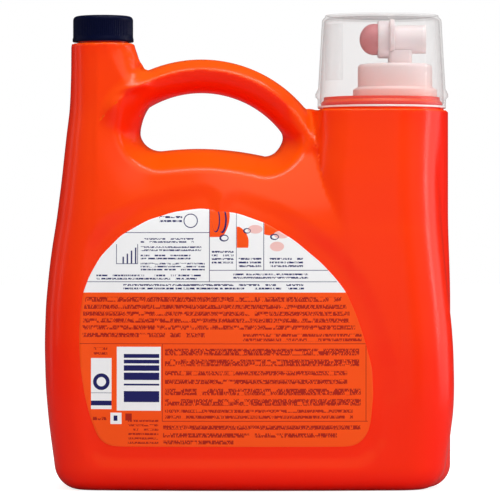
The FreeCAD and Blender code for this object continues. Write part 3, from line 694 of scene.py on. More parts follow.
    def _beaker_strokes(self, x: Signal, z: Signal) -> Signal:
        """1 on the outline of a beaker and on four rising bars in it."""
        cup, wall = self.beaker, self.beaker_wall
        body = Field(cup.left + wall, cup.right - wall, cup.low + wall, cup.high)
        outline = cup.mask(x, z) * (1.0 - body.mask(x, z))
        bars = []
        for index in range(4):
            left = -79.6 + index * 2.6
            bars.append(Field(left, left + 0.9, 142.8, 147.2 + index * 1.9).mask(x, z))
        return any_of([outline, *bars])

    def _navy_print(self, sheet: NodeSheet, x: Signal, z: Signal, marks: Signal) -> Signal:
        """1 on everything that is printed in navy.

        Args:
            sheet: Material that is drawn.
            x: Millimetres across.
            z: Millimetres up.
            marks: Random marks that stand for letters.

        Returns:
            The mask.
        """
        shapes = [shape.mask(x, z) for shape in (*self.strokes, *self.rules, *self.navy_boxes)]
        text = [block.mask(x, z, marks) for block in self.small_text]
        thick = sheet.dice((z / self.stripe_pitch).floored(), 3.0) > self.stripe_gaps
        return any_of([*shapes, *text, self._beaker_strokes(x, z), self.stripes.mask(x, z) * thick])

    def _red_print(self, x: Signal, z: Signal, marks: Signal) -> Signal:
        """1 on everything that is printed in dark red."""
        shapes = [shape.mask(x, z) for shape in (self.dark_square, *self.red_rules)]
        text = [block.mask(x, z, marks) for block in (*self.red_text, *self.bold_text)]
        return any_of([*shapes, *text])

    def material(self) -> bpy.types.Material:
        """Node material of the label film."""
        sheet = NodeSheet("label_print")
        x, _, z = sheet.place(PER_METRE)
        marks = self._marks(sheet, x, z)
        base = sheet.mixed(z > self.split, self.orange, self.white)
        layers = (
            (any_of(area.mask(x, z) * oval.mask(x, z) for area, oval in self.orange_shapes), self.orange),
            (any_of(shape.mask(x, z) for shape in self.pink_shapes), self.pink),
            (self._red_print(x, z, marks), self.dark_red),
            (any_of(box.mask(x, z) for box in self.white_boxes), self.white),
            (self._navy_print(sheet, x, z, marks), self.navy),
        )
        for mask, colour in layers:
            base = sheet.mixed(mask, base, colour)
        film = sheet.noise(500.0, 2.0)
        return sheet.finish(
            {
                "Base Color": base,
                "Roughness": film * 0.1 + 0.33,
                "Specular IOR Level": 0.3,
                "Normal": sheet.bump(film, 0.00003, 0.3),
            }
        )


# Meshes


@dataclass
class Draft:
    """Mesh being gathered from several closed forms, in millimetres."""

    points: list[Array] = field(default_factory=list)
    faces: list[list[int]] = field(default_factory=list)
    count: int = 0

    def add(self, points: Array, faces: Sequence[Sequence[int]]) -> None:
        """Add one form by its points and its faces."""
        self.points.append(np.asarray(points, dtype=float))
        self.faces.extend([index + self.count for index in face] for face in faces)
        self.count += len(points)

    def piece(self, name: str, body: Body, material: bpy.types.Material, sharp: float = 40.0) -> Any:
        """Turn the draft into an object that rides on a body.

        Args:
            name: Name of the piece.
            body: Body that it moves with.
            material: Its material.
            sharp: Angle above which an edge stays sharp, in degrees.

        Returns:
            The object.
        """
        mesh = bpy.data.meshes.new(name)
        mesh.from_pydata((np.vstack(self.points) * MM).tolist(), [], self.faces)
        mesh.validate()
        mesh.polygons.foreach_set("use_smooth", [True] * len(mesh.polygons))
        mesh.set_sharp_from_angle(angle=math.radians(sharp))
        mesh.materials.append(material)
        made = bpy.data.objects.new(name, mesh)
        bpy.context.scene.collection.objects.link(made)
        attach(made, body.value)
        return made


def softened(outline: Sequence[Point], radii: float | Sequence[float], steps: int = 4) -> list[Point]:
    """Closed outline with its corners rounded.

    Args:
        outline: Corners in order.
        radii: Rounding of all corners, or of each.
        steps: Points on each rounded corner, less one.

    Returns:
        The rounded outline.
    """
    made: list[Point] = []
    count = len(outline)
    for index in range(count):
        radius = radii if isinstance(radii, (int, float)) else radii[index]
        here = np.array(outline[index])
        before = np.array(outline[index - 1]) - here
        after = np.array(outline[(index + 1) % count]) - here
        short = min(np.linalg.norm(before), np.linalg.norm(after))
        before = before / np.linalg.norm(before)
        after = after / np.linalg.norm(after)
        half = math.acos(float(np.clip(before @ after, -1, 1))) / 2
        if radius <= 0 or half > math.radians(88):
            made.append(tuple(here))
            continue
        reach = min(radius / math.tan(half), short * 0.45)
        for step in range(steps + 1):
            share = step / steps
            bend = (1 - share) ** 2 * before * reach + share**2 * after * reach
            made.append(tuple(here + bend))
    return made


def turned(
    outline: Sequence[Point], place: Sequence[float], turn: Turn, around: int = 128
) -> tuple[Array, list]:
    """Closed outline turned into a ring about an axis.

    Args:
        outline: Radius and length along the axis of each corner.
        place: Point of the axis that lengths count from.
        turn: Direction of the axis.
        around: Steps round the axis.

    Returns:
        Points and faces.
    """
    radii = np.array([max(p[0], 0.001) for p in outline])
    lengths = np.array([p[1] for p in outline])
    angles = np.linspace(0, 2 * math.pi, around, endpoint=False)[:, None]
    first = radii * np.cos(angles)
    second = radii * np.sin(angles)
    along = np.broadcast_to(lengths, first.shape)
    parts = (first, second, along) if turn is Turn.UPRIGHT else (along, first, second)
    points = np.stack(parts, axis=-1).reshape(-1, 3) + np.array(place)
    count = len(outline)
    faces = []
    for step in range(around):
        row, following = step * count, (step + 1) % around * count
        for index in range(count):
            other = (index + 1) % count
            faces.append([row + index, following + index, following + other, row + other])
    return points, faces


def plate(
    half_sizes: Sequence[float],
    corner: float,
    edge: float,
    centre: Sequence[float],
    turn: Turn,
    steps: int = 6,
) -> tuple[Array, list]:
    """Rounded rectangular plate or block with softened edges.

    Args:
        half_sizes: Half width, half height and half length along the axis.
        corner: Radius of its four long corners.
        edge: Rounding of its rims.
        centre: Its middle.
        turn: Axis that its length lies along.
        steps: Steps on each long corner.

    Returns:
        Points and faces.
    """
    wide, high, deep = half_sizes
    loops = []
    for share in np.linspace(0, math.pi / 2, 4):
        loops.append((edge * (1 - math.sin(share)), -deep + edge * (1 - math.cos(share))))
    loops += [(inset, -length) for inset, length in reversed(loops)]
    rings = []
    for inset, length in loops:
        ring = []
        radius = max(corner - inset, 0.05)
        for quarter, (sx, sy) in enumerate(((1, 1), (-1, 1), (-1, -1), (1, -1))):
            for step in range(steps + 1):
                angle = math.pi / 2 * (quarter + step / steps)
                across = sx * (wide - inset - radius) + radius * math.cos(angle)
                up = sy * (high - inset - radius) + radius * math.sin(angle)
                ring.append((across, up, length))
        rings.append(ring)
    around = len(rings[0])
    points = np.array([p for ring in rings for p in ring])
    if turn is Turn.LEVEL:
        points = points[:, [2, 0, 1]]
    faces = [list(range(around))[::-1], [len(points) - around + i for i in range(around)]]
    for ring in range(len(rings) - 1):
        for index in range(around):
            a, b = ring * around + index, ring * around + (index + 1) % around
            faces.append([a, b, b + around, a + around])
    return points + np.array(centre), faces


# Field of the bottle's skin


def smooth_step(low: float, high: float, value: Array) -> Array:
    """Soft rise from 0 at one value to 1 at another."""
    share = np.clip((value - low) / (high - low), 0, 1)
    return share * share * (3 - 2 * share)


def smooth_min(first: Array, second: Array, reach: Array | float) -> Array:
    """Smaller of two values with a soft change within reach."""
    blend = np.clip(reach - np.abs(first - second), 0, None)
    return np.minimum(first, second) - blend * blend / (4 * reach)


def smooth_max(first: Array, second: Array, reach: Array | float) -> Array:
    """Larger of two values with a soft change within reach."""
    return -smooth_min(-first, -second, reach)


def round_max(first: Array, second: Array, radius: Array | float) -> Array:
    """Larger of two distances with a true radius along the edge."""
    a = first + radius
    b = second + radius
    return np.minimum(np.maximum(a, b), 0) + np.hypot(np.maximum(a, 0), np.maximum(b, 0)) - radius


def eased(heights: Sequence[float], values: Sequence[float], at: Array, width: float = 8.0) -> Array:
    """Table of values over height, smoothed and looked up.

    Args:
        heights: Heights of the table.
        values: Its values.
        at: Heights to look up.
        width: Width of the smoothing.

    Returns:
        The values there.
    """
    margin = int(4 * width)
    fine = np.arange(-60.0 - margin, 341.0 + margin)
    rough = np.interp(fine, heights, values)
    kernel = np.exp(-0.5 * (np.arange(-margin, margin + 1) / width) ** 2)
    soft = np.convolve(rough, kernel / kernel.sum(), "same")
    return np.interp(at, fine[margin:-margin], soft[margin:-margin])


def arc_points(centre: Point, radius: float, start: float, stop: float, count: int) -> list[Point]:
    """Points on a circle between two directions in degrees."""
    angles = np.radians(np.linspace(start, stop, count))
    return [(centre[0] + radius * math.cos(a), centre[1] + radius * math.sin(a)) for a in angles]


def distance_to(path: Array, x: Array, z: Array) -> Array:
    """Distance from points to a chain of points in the front plane."""
    best = np.full(x.shape, 1e9)
    for (ax, az), (bx, bz) in zip(path[:-1], path[1:]):
        run_x, run_z = bx - ax, bz - az
        share = np.clip(((x - ax) * run_x + (z - az) * run_z) / (run_x**2 + run_z**2 + 1e-12), 0, 1)
        best = np.minimum(best, (x - ax - share * run_x) ** 2 + (z - az - share * run_z) ** 2)
    return np.sqrt(best)


def inside(path: Array, x: Array, z: Array) -> Array:
    """True where points lie inside a closed chain of points."""
    found = np.zeros(x.shape, dtype=bool)
    for (ax, az), (bx, bz) in zip(path, np.roll(path, -1, axis=0)):
        if az == bz:
            continue
        crosses = (az > z) != (bz > z)
        found ^= crosses & (x < (bx - ax) * (z - az) / (bz - az) + ax)
    return found


LABEL_OUTLINE = (
    *((-30.5, 177.6), (-47.2, 175.4), (-64.1, 170.1), (-80.8, 160.6), (-93.5, 147.4), (-100.3, 135.5)),
    *((-104.3, 124.8), (-106.3, 110.0), (-106.8, 94.4), (-105.9, 77.9), (-103.4, 61.3), (-100.0, 47.5)),
    *((-95.8, 36.3), (-92.6, 31.6), (-88.0, 29.0), (-81.0, 28.4), (56.6, 28.4), (65.0, 28.8)),
    *((70.4, 31.9), (74.2, 37.6), (75.9, 44.4), (77.4, 61.3), (76.6, 77.9), (71.6, 96.6)),
    *((66.6, 111.3), (60.6, 124.8), (54.2, 133.4), (44.9, 143.4), (28.2, 157.4), (11.4, 167.7)),
    (-7.2, 174.4),
)


@dataclass
class Skin:
    """Smooth field of the bottle's blow-moulded skin: below 0 inside, above 0 outside."""

    platform: float = 240.5
    column_top: float = 283.2
    grip_left: Point = (-56.4, 228.4)
    grip_left_radius: float = 14.0
    grip_right: Point = (9.6, 221.4)
    grip_right_radius: float = 10.2
    shelf: Point = (-32.2, 25.9)
    shelf_radius: float = 190.0
    grip_rounding: float = 8.0
    rim_width: float = 11.0
    rim_drop: float = 3.0
    rim_slope: float = 58.0
    handle: Point = (-30.8, 187.3)
    handle_arch: float = 75.2
    handle_crest: float = 3.2
    handle_up: float = 7.6
    handle_down: float = 14.0
    handle_depth: float = 16.0
    handle_ridge: float = 1.35
    handle_belly: float = 1.9
    handle_back: float = 4.0
    flank: Point = (84.6, 0.0)
    flank_radius: float = 42.4
    base_rounding: float = 15.0
    heights: tuple = (0.0, 16.0, 50.0, 92.0, 133.0, 170.0, 205.0, 240.5, 283.2)
    depth_left: tuple = (52.0, 53.5, 55.5, 54.5, 51.5, 46.5, 39.0, 29.0, 19.9)
    depth_right: tuple = (53.5, 55.0, 56.5, 56.0, 53.5, 50.0, 46.5, 42.0, 41.0)
    crown: tuple = (6.0, 6.0, 6.5, 6.5, 5.5, 4.5, 2.5, 0.6, 0.4)
    round_left: tuple = (27.0, 27.0, 28.0, 28.0, 28.0, 27.0, 25.0, 22.0, 18.0)
    round_right: tuple = (30.0, 30.0, 32.0, 32.0, 31.0, 31.0, 33.0, 38.0, 38.0)
    left_edge: tuple = (
        *((-60, -121.0), (0, -122.2), (15.7, -123.3), (23.4, -124.5), (42.6, -127.0), (65.6, -129.0)),
        *((92.5, -129.7), (117.4, -129.0), (138.6, -127.0), (153.9, -125.1), (169.3, -122.6)),
        *((196.0, -119.4), (225.0, -116.6), (241.0, -114.6), (262.0, -114.0), (320.0, -113.9)),
    )
    right_edge: tuple = (
        *((-60, 122.5), (0, 122.8), (16.0, 124.0), (27.0, 126.2), (50.0, 129.3), (65.0, 129.7)),
        *((88.0, 129.2), (105.0, 128.0), (133.0, 124.8), (165.0, 121.8), (195.0, 121.0)),
        *((220.0, 122.8), (232.0, 124.4), (241.0, 125.4), (320.0, 125.4)),
    )
    dip_left: tuple = ((165, 0), (185, 2.0), (197, 4.0), (207, 5.5), (218, 5.0), (232, 2.0), (246, 0))
    dip_right: tuple = ((163, 0), (180, 2.0), (193, 5.5), (205, 10.0), (213, 14.0), (225, 20.0), (240, 26.0))
    column_edge: float = 38.8
    column_lean: float = 0.15
    column_rounding: tuple = ((150, 12.0), (196, 16.0), (240, 27.0))
    panel_depth: float = 1.2
    rim_blend: float = 3.5
    flank_start: float = 96.0
    flank_flare: float = 1.4
    edge_blend: float = 1.4
    handle_blend: float = 7.0
    root_blend: float = 9.0
    handle_right_swell: float = 13.0
    handle_end_sink: float = 9.0
    handle_left_swell: float = 9.0
    handle_floor_left: float = 226.0
    handle_floor_right: float = 203.0
    far: float = 40.0
    outline: Array = field(init=False)
    grip_path: Array = field(init=False)
    outer_path: Array = field(init=False)

    def __post_init__(self) -> None:
        """Work out the outline seen from the front."""
        levels = np.arange(-60.0, 321.0, 3.0)
        left = eased(*zip(*self.left_edge), levels, 5.0)
        right = eased(*zip(*self.right_edge), levels, 5.0)
        left_wall = [(-73.9, 320.0), (-73.9, 284.0), (-73.3, 281.0), (-71.6, 276.0), (-70.6, 270.0)]
        left_wall += [(-70.4, 262.0), (-70.4, 245.0)]
        grip = left_wall + arc_points(self.grip_left, self.grip_left_radius, 180, 276.6, 12)
        grip += arc_points(self.shelf, self.shelf_radius, 96.6, 77.6, 24)
        grip += arc_points(self.grip_right, self.grip_right_radius, -102.0, -38.0, 8)
        grip += [(37.5, self.platform), (42.0, 262.0), (44.0, 320.0)]
        self.grip_path = np.array(grip)
        outer_left = list(zip(left, levels))
        outer_right = list(zip(right, levels))
        self.outer_path = np.array(outer_left[::-1] + outer_right)
        self.outline = np.array(outer_left + grip + outer_right[::-1])

    def half_depth(self, x: Array, z: Array) -> Array:
        """Half depth of the body between its rounded edges.

        Args:
            x: Millimetres across.
            z: Millimetres up.

        Returns:
            Half depths.
        """
        span = np.clip((x + 100) / 195, 0, 1)
        near = eased(self.heights, self.depth_left, z)
        far = eased(self.heights, self.depth_right, z)
        swell = eased(self.heights, self.crown, z)
        depth = near + (far - near) * span + swell * 4 * span * (1 - span)
        dip_left = eased(*zip(*self.dip_left), z, 4.0)
        dip_right = eased(*zip(*self.dip_right), z, 4.0)
        share = smooth_step(-35, 10, x)
        dip = dip_left * smooth_step(-98, -60, x) * (1 - share) + dip_right * share
        landing = depth - dip
        edge = self.column_edge + (self.platform - z) * self.column_lean
        radius = eased(*zip(*self.column_rounding), z)
        lack = np.clip(edge + radius - x, 0, radius * 0.985)
        column = depth - radius + np.sqrt(radius**2 - lack**2) - 3.0 * np.clip(edge - x, 0, 30)
        blend = 1.5 + 12.0 * smooth_step(165, 215, z)
        depth = smooth_max(landing, column, blend)
        return depth - self.panel(x, z)

    def panel(self, x: Array, z: Array) -> Array:
        """Depth of the shallow panel that the label lies in."""
        path = np.array(LABEL_OUTLINE)
        away = distance_to(path, x, z)
        away = np.where(inside(path, x, z), -away, away)
        return self.panel_depth * (1 - smooth_step(5, 17, away)) * smooth_step(-112, -92, x)

    def plan(self, x: Array, z: Array) -> tuple[Array, ...]:
        """What depends on the front view alone.

        Args:
            x: Millimetres across.
            z: Millimetres up.

        Returns:
            Distance to the outline, half depth, edge rounding and share of the sloped rim.
        """
        to_grip = distance_to(self.grip_path, x, z)
        to_outer = distance_to(self.outer_path, x, z)
        outline = np.minimum(to_grip, to_outer)
        outline = np.where(inside(self.outline, x, z), -outline, outline)
        depth = self.half_depth(x, z)
        left = eased(self.heights, self.round_left, z)
        right = eased(self.heights, self.round_right, z)
        outer = left + (right - left) * smooth_step(-60, 60, x)
        grip = self.grip_rounding + 10.0 * smooth_step(250, 275, z)
        beside = smooth_step(-14, 14, to_grip - to_outer)
        rounding = grip + (outer - grip) * beside
        sloped = (1 - beside) * smooth_step(272, 248, z) * smooth_step(60, 42, x)
        return outline, depth, np.minimum(rounding, depth - 1), sloped

    def value(self, x: Array, y: Array, z: Array, plan: tuple[Array, ...] | None = None) -> Array:
        """Field at points.

        Args:
            x: Millimetres across.
            y: Millimetres towards the front label.
            z: Millimetres up.
            plan: Results of the method plan, if they are known.

        Returns:
            Rough signed distance to the skin.
        """
        outline, depth, rounding, sloped = plan or self.plan(x, z)
        body = round_max(outline, np.abs(y) - depth, rounding)
        tilt = math.radians(self.rim_slope)
        over = np.abs(y) - depth + self.rim_drop
        rim = math.sin(tilt) * (outline + self.rim_width) + math.cos(tilt) * over
        body = smooth_max(body, rim - self.far * (1 - sloped), self.rim_blend)
        flare = self.flank_flare * smooth_step(178, 118, z)
        flank = np.hypot(x - self.flank[0], y) - self.flank_radius - flare
        flank = smooth_max(flank, self.flank_start - x, 2.0)
        body = smooth_min(body, flank, self.edge_blend)
        top = np.where(x < -30, self.column_top, self.platform)
        body = smooth_max(body, z - top, self.edge_blend)
        root = smooth_step(-48, -74, x) * smooth_step(-108, -86, x) * smooth_step(1, 14, np.abs(y))
        blend = self.handle_blend + self.root_blend * root
        body = smooth_min(body, self.handle_value(x, y, z), blend)
        return round_max(body, -z, self.base_rounding)

    def handle_value(self, x: Array, y: Array, z: Array) -> Array:
        """Field of the arched handle alone, which widens at its roots on both columns."""
        across = x - self.handle[0]
        up = z - self.handle[1]
        reach = np.hypot(across, up) - self.handle_arch - self.handle_crest
        angle = np.degrees(np.arctan2(up, across))
        deep = self.handle_depth + self.handle_right_swell * smooth_step(46, 22, angle)
        deep = deep - self.handle_end_sink * smooth_step(24, 12, angle)
        deep = deep + self.handle_left_swell * smooth_step(98, 124, angle) * smooth_step(152, 134, angle)
        height = np.where(reach > 0, self.handle_up, self.handle_down)
        power = np.where(reach > 0, self.handle_ridge, self.handle_belly)
        soft_deep = np.hypot(deep, self.handle_back) - self.handle_back
        soft_y = (np.hypot(y, self.handle_back) - self.handle_back) / soft_deep
        sideways = np.where(reach > 0, soft_y, np.abs(y) / deep)
        ratio = (np.abs(reach / height) ** power + sideways**power) ** (1 / power)
        tube = (ratio - 1) * np.where(np.abs(reach) > np.abs(y), height, np.minimum(deep, 18.0)) * 0.85
        floor = np.where(x < -30, self.handle_floor_left, self.handle_floor_right)
        return smooth_max(tube, floor - z, 3.0)

    def slope(self, points: Array, step: float = 0.05) -> tuple[Array, Array]:
        """Field and its gradient at points."""
        here = self.value(*points.T)
        parts = []
        for axis in range(3):
            shift = np.zeros(3)
            shift[axis] = step
            parts.append((self.value(*(points + shift).T) - self.value(*(points - shift).T)) / (2 * step))
        return here, np.stack(parts, axis=-1)

    def settled(self, points: Array, rounds: int) -> Array:
        """Points moved on to the skin."""
        for _ in range(rounds):
            here, slope = self.slope(points)
            length = np.maximum((slope**2).sum(axis=1), 0.05)
            points = points - slope * np.clip(here / length, -1.5, 1.5)[:, None]
        return points


def neighbours(values: Array, axis: int) -> tuple[Array, Array]:
    """Every value of a grid but the last along an axis, and the value after each."""
    return np.delete(values, -1, axis), np.delete(values, 0, axis)


def shifted(cells: Array, axis: int, shift: Sequence[int]) -> tuple[Array, ...]:
    """Index of cells after a shift back along the two other axes."""
    moved = cells.copy()
    moved[:, [n for n in range(3) if n != axis]] -= shift
    return tuple(moved.T)


@dataclass
class Moulding:
    """Mesh of the skin, made by walking the field's grid."""

    skin: Skin
    cell: float

    def build(self) -> tuple[Array, list, Array]:
        """Mesh the field.

        Returns:
            Points, faces and normals.
        """
        xs = np.arange(-134.0, 134.0, self.cell)
        ys = np.arange(-68.0, 68.0, self.cell)
        zs = np.arange(-self.cell * 2.5, 290.0, self.cell)
        flat_x, flat_z = np.meshgrid(xs, zs, indexing="ij")
        plan = tuple(part[:, None, :] for part in self.skin.plan(flat_x, flat_z))
        values = self.skin.value(xs[:, None, None], ys[None, :, None], zs[None, None, :], plan)
        points, faces = self._net(values, (xs, ys, zs))
        points = self.skin.settled(points, 2)
        for _ in range(2):
            points = self._relaxed(points, faces)
            points = self.skin.settled(points, 2)
        _, slope = self.skin.slope(points)
        normals = slope / np.linalg.norm(slope, axis=1)[:, None]
        return points, faces.tolist(), normals

    def _net(self, values: Array, axes: tuple[Array, Array, Array]) -> tuple[Array, Array]:
        """Points in the cells that the skin crosses, and the faces between them."""
        counts = np.zeros(tuple(n - 1 for n in values.shape), dtype=np.int32)
        sums = np.zeros((*counts.shape, 3))
        for axis in range(3):
            here, following = neighbours(values, axis)
            crossing = (here < 0) != (following < 0)
            where = np.argwhere(crossing)
            places = where.astype(float)
            places[:, axis] += (here / (here - following + 1e-12))[crossing]
            for shift in ((0, 0), (0, 1), (1, 0), (1, 1)):
                cells = shifted(where, axis, shift)
                np.add.at(counts, cells, 1)
                np.add.at(sums, cells, places)
        used = counts > 0
        numbers = np.full(counts.shape, -1, dtype=np.int64)
        numbers[used] = np.arange(int(used.sum()))
        start = np.array([axis[0] for axis in axes])
        points = start + sums[used] / counts[used][:, None] * self.cell
        faces = []
        for axis in range(3):
            here, following = neighbours(values < 0, axis)
            where = np.argwhere(here != following)
            around = ((0, 0), (1, 0), (1, 1), (0, 1))
            quads = np.stack([numbers[shifted(where, axis, shift)] for shift in around], axis=-1)
            flip = here[tuple(where.T)] == (axis == 1)
            quads[flip] = quads[flip][:, ::-1]
            faces.append(quads)
        return points, np.vstack(faces)

    @staticmethod
    def _relaxed(points: Array, faces: Array) -> Array:
        """Points moved half way to the middle of their neighbours."""
        total = np.zeros_like(points)
        count = np.zeros(len(points))
        for side in range(4):
            a, b = faces[:, side], faces[:, (side + 1) % 4]
            np.add.at(total, a, points[b])
            np.add.at(total, b, points[a])
            np.add.at(count, a, 1)
            np.add.at(count, b, 1)
        return points * 0.4 + total / count[:, None] * 0.6


@dataclass
class Bottle:
    """Blow-moulded bottle: skin, collar and both necks in one piece."""

    skin: Skin
    collar_x: float = 84.6
    tap_x: float = 93.1
    vent_x: float = -93.7
    cell: float = 1.8
    rough_cell: float = 3.0

    def _collar(self) -> list[Point]:
        """Half section of the stepped collar."""
        z = self.skin.platform
        return [
            *((18.8, z - 3.0), (39.6, z - 3.0), (39.6, z + 1.1), (37.5, z + 1.1), (37.5, z + 3.4)),
            *((38.7, z + 3.4), (38.7, z + 5.0), (37.1, z + 6.6), (37.1, z + 8.4), (18.8, z + 8.4)),
        ]

    def _tap_neck(self) -> list[Point]:
        """Half section of the neck under the tap."""
        z = self.skin.platform + 8.4
        return [
            *((18.8, z - 2.0), (21.2, z - 2.0), (21.2, z + 10.0), (21.9, z + 10.7), (21.9, z + 12.0)),
            *((21.2, z + 12.7), (21.2, z + 17.2), (18.8, z + 17.2)),
        ]

    def _vent_neck(self) -> list[Point]:
        """Half section of the vent neck."""
        z = self.skin.column_top
        return [(13.4, z - 3.0), (16.0, z - 3.0), (16.0, z + 15.2), (13.4, z + 15.2)]

    def _thread(self) -> tuple[Array, list]:
        """Thread ridge round the vent neck."""
        turns = 1.6
        pitch = 4.0
        steps = 150
        section = ((15.9, -1.1), (16.7, -0.4), (16.7, 0.4), (15.9, 1.1))
        points = []
        for step in range(steps + 1):
            share = step / steps
            angle = 2 * math.pi * turns * share
            fade = min(1.0, 12 * share, 12 * (1 - share))
            for radius, rise in section:
                reach = 15.8 + (radius - 15.8) * fade
                height = self.skin.column_top + 5.0 + pitch * turns * share + rise
                points.append((reach * math.cos(angle), reach * math.sin(angle), height))
        faces = [[0, 1, 2, 3], [steps * 4 + i for i in (3, 2, 1, 0)]]
        for step in range(steps):
            for side in range(4):
                a, b = step * 4 + side, step * 4 + (side + 1) % 4
                faces.append([a, a + 4, b + 4, b])
        return np.array(points) + np.array((self.vent_x, 0, 0)), faces

    def build(self) -> Any:
        """Make the bottle.

        Returns:
            The piece.
        """
        cell = self.cell
        points, faces, normals = Moulding(self.skin, cell).build()
        draft = Draft()
        draft.add(points, faces)
        shell = len(points)
        collar = softened(self._collar(), 0.25, 3)
        draft.add(*turned(collar, (self.collar_x, 0, 0), Turn.UPRIGHT, 160))
        draft.add(*turned(softened(self._tap_neck(), 0.3, 3), (self.tap_x, 0, 0), Turn.UPRIGHT, 96))
        draft.add(*turned(softened(self._vent_neck(), 0.4, 3), (self.vent_x, 0, 0), Turn.UPRIGHT, 96))
        draft.add(*self._thread())
        finish = BottleFinish()
        made = draft.piece("bottle_skin", Body.BOTTLE, finish.material(), 50.0)
        self._set_normals(made.data, normals, shell)
        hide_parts("bottle")
        return made

    @staticmethod
    def _set_normals(mesh: Any, normals: Array, shell: int) -> None:
        """Give the skin the field's own normals and leave the necks' as they are."""
        count = len(mesh.loops)
        corners = np.zeros(count * 3)
        mesh.corner_normals.foreach_get("vector", corners)
        corners = corners.reshape(-1, 3)
        vertex = np.zeros(count, dtype=np.int64)
        mesh.loops.foreach_get("vertex_index", vertex)
        own = vertex < shell
        corners[own] = normals[vertex[own]]
        mesh.normals_split_custom_set(corners.tolist())


@dataclass
class Label:
    """Printed film on one face of the bottle."""

    skin: Skin
    side: Side
    lift: float = 0.25
    rings: int = 44

    def _outline(self) -> Array:
        """Label outline as evenly spaced points on a smooth curve."""
        corners = np.array(LABEL_OUTLINE)
        closed = np.vstack([corners, corners[:1]])
        steps = np.hypot(*np.diff(closed, axis=0).T)
        lengths = np.concatenate([[0], np.cumsum(steps)])
        even = np.linspace(0, lengths[-1], 361)[:-1]
        across = np.interp(even, lengths, closed[:, 0])
        up = np.interp(even, lengths, closed[:, 1])
        kernel = np.array([1, 3, 5, 6, 5, 3, 1]) / 24
        across = np.convolve(np.concatenate([across[-3:], across, across[:3]]), kernel, "valid")
        up = np.convolve(np.concatenate([up[-3:], up, up[:3]]), kernel, "valid")
        return np.stack([across, up], axis=-1)

    def _depth_at(self, x: Array, z: Array) -> Array:
        """How far the skin is from the middle plane."""
        low, high = np.zeros(x.shape), np.full(x.shape, 70.0)
        plan = self.skin.plan(x, z)
        for _ in range(22):
            middle = (low + high) / 2
            within = self.skin.value(x, middle, z, plan) < 0
            low = np.where(within, middle, low)
            high = np.where(within, high, middle)
        return (low + high) / 2

    def build(self, material: bpy.types.Material) -> Any:
        """Make the film.

        Args:
            material: Its print.

        Returns:
            The piece.
        """
        outline = self._outline()
        centre = np.array((-14.0, 95.0))
        around = len(outline)
        shares = [1.0, 0.998] + list(np.linspace(0.985, 0.02, self.rings))
        flat = np.vstack([centre + (outline - centre) * share for share in shares] + [centre[None]])
        depth = self._depth_at(flat[:, 0], flat[:, 1])
        lift = np.full(len(flat), self.lift)
        lift[:around] = -0.1
        points = np.stack([flat[:, 0], self.side.value * (depth + lift), flat[:, 1]], axis=-1)
        faces = []
        for ring in range(len(shares) - 1):
            for index in range(around):
                following = (index + 1) % around
                a, b = ring * around + index, ring * around + following
                faces.append([a, b, b + around, a + around])
        last = (len(shares) - 1) * around
        faces += [[last + i, last + (i + 1) % around, len(flat) - 1] for i in range(around)]
        if self.side is Side.BACK:
            faces = [face[::-1] for face in faces]
        draft = Draft()
        draft.add(points, faces)
        name = self.side.name.lower() + "_label"
        made = draft.piece(name + "_film", Body.BOTTLE, material, 60.0)
        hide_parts(name)
        return made


@dataclass
class VentCap:
    """Navy screw cap with fine ribs round its side."""

    x: float = -93.7
    low: float = 284.4
    radius: float = 19.2
    height: float = 16.6
    ribs: int = 90
    rib_depth: float = 0.28

    def _outline(self) -> tuple[list[Point], list[float]]:
        """Section of the cap, and how ribbed each point is."""
        low, top = self.low, self.low + self.height
        r = self.radius
        ridged = [(r, low + 3.2), (r, low + 4.0), (r, top - 3.4), (r, top - 2.7)]
        rim = [(r + 0.15, low), (r + 0.35, low + 0.3), (r + 0.35, low + 2.0), (r + 0.1, low + 2.5)]
        dome = [(r - 0.25, top - 1.7), (r - 0.9, top - 0.8), (r - 2.0, top - 0.25), (r - 3.4, top)]
        inner = [(8.0, top - 0.05), (0.0, top - 0.1), (0.0, top - 1.6), (17.4, top - 1.6), (17.4, low)]
        shape = rim + ridged + dome + inner
        depth = [0.0] * len(rim) + [0.0, 1.0, 1.0, 0.0] + [0.0] * (len(dome) + len(inner))
        return shape, depth

    def build(self) -> Any:
        """Make the cap.

        Returns:
            The piece.
        """
        shape, depth = self._outline()
        around = self.ribs * 6
        points, faces = turned(shape, (self.x, 0, 0), Turn.UPRIGHT, around)
        angles = np.repeat(np.linspace(0, 2 * math.pi, around, endpoint=False), len(shape))
        wave = 0.5 - 0.5 * np.cos(angles * self.ribs)
        cut = np.tile(np.array(depth), around) * wave * self.rib_depth
        points[:, 0] -= cut * np.cos(angles)
        points[:, 1] -= cut * np.sin(angles)
        draft = Draft()
        draft.add(points, faces)
        finish = CapFinish()
        made = draft.piece("vent_cap_shell", Body.VENT_CAP, finish.material(), 35.0)
        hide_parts("vent_cap")
        return made


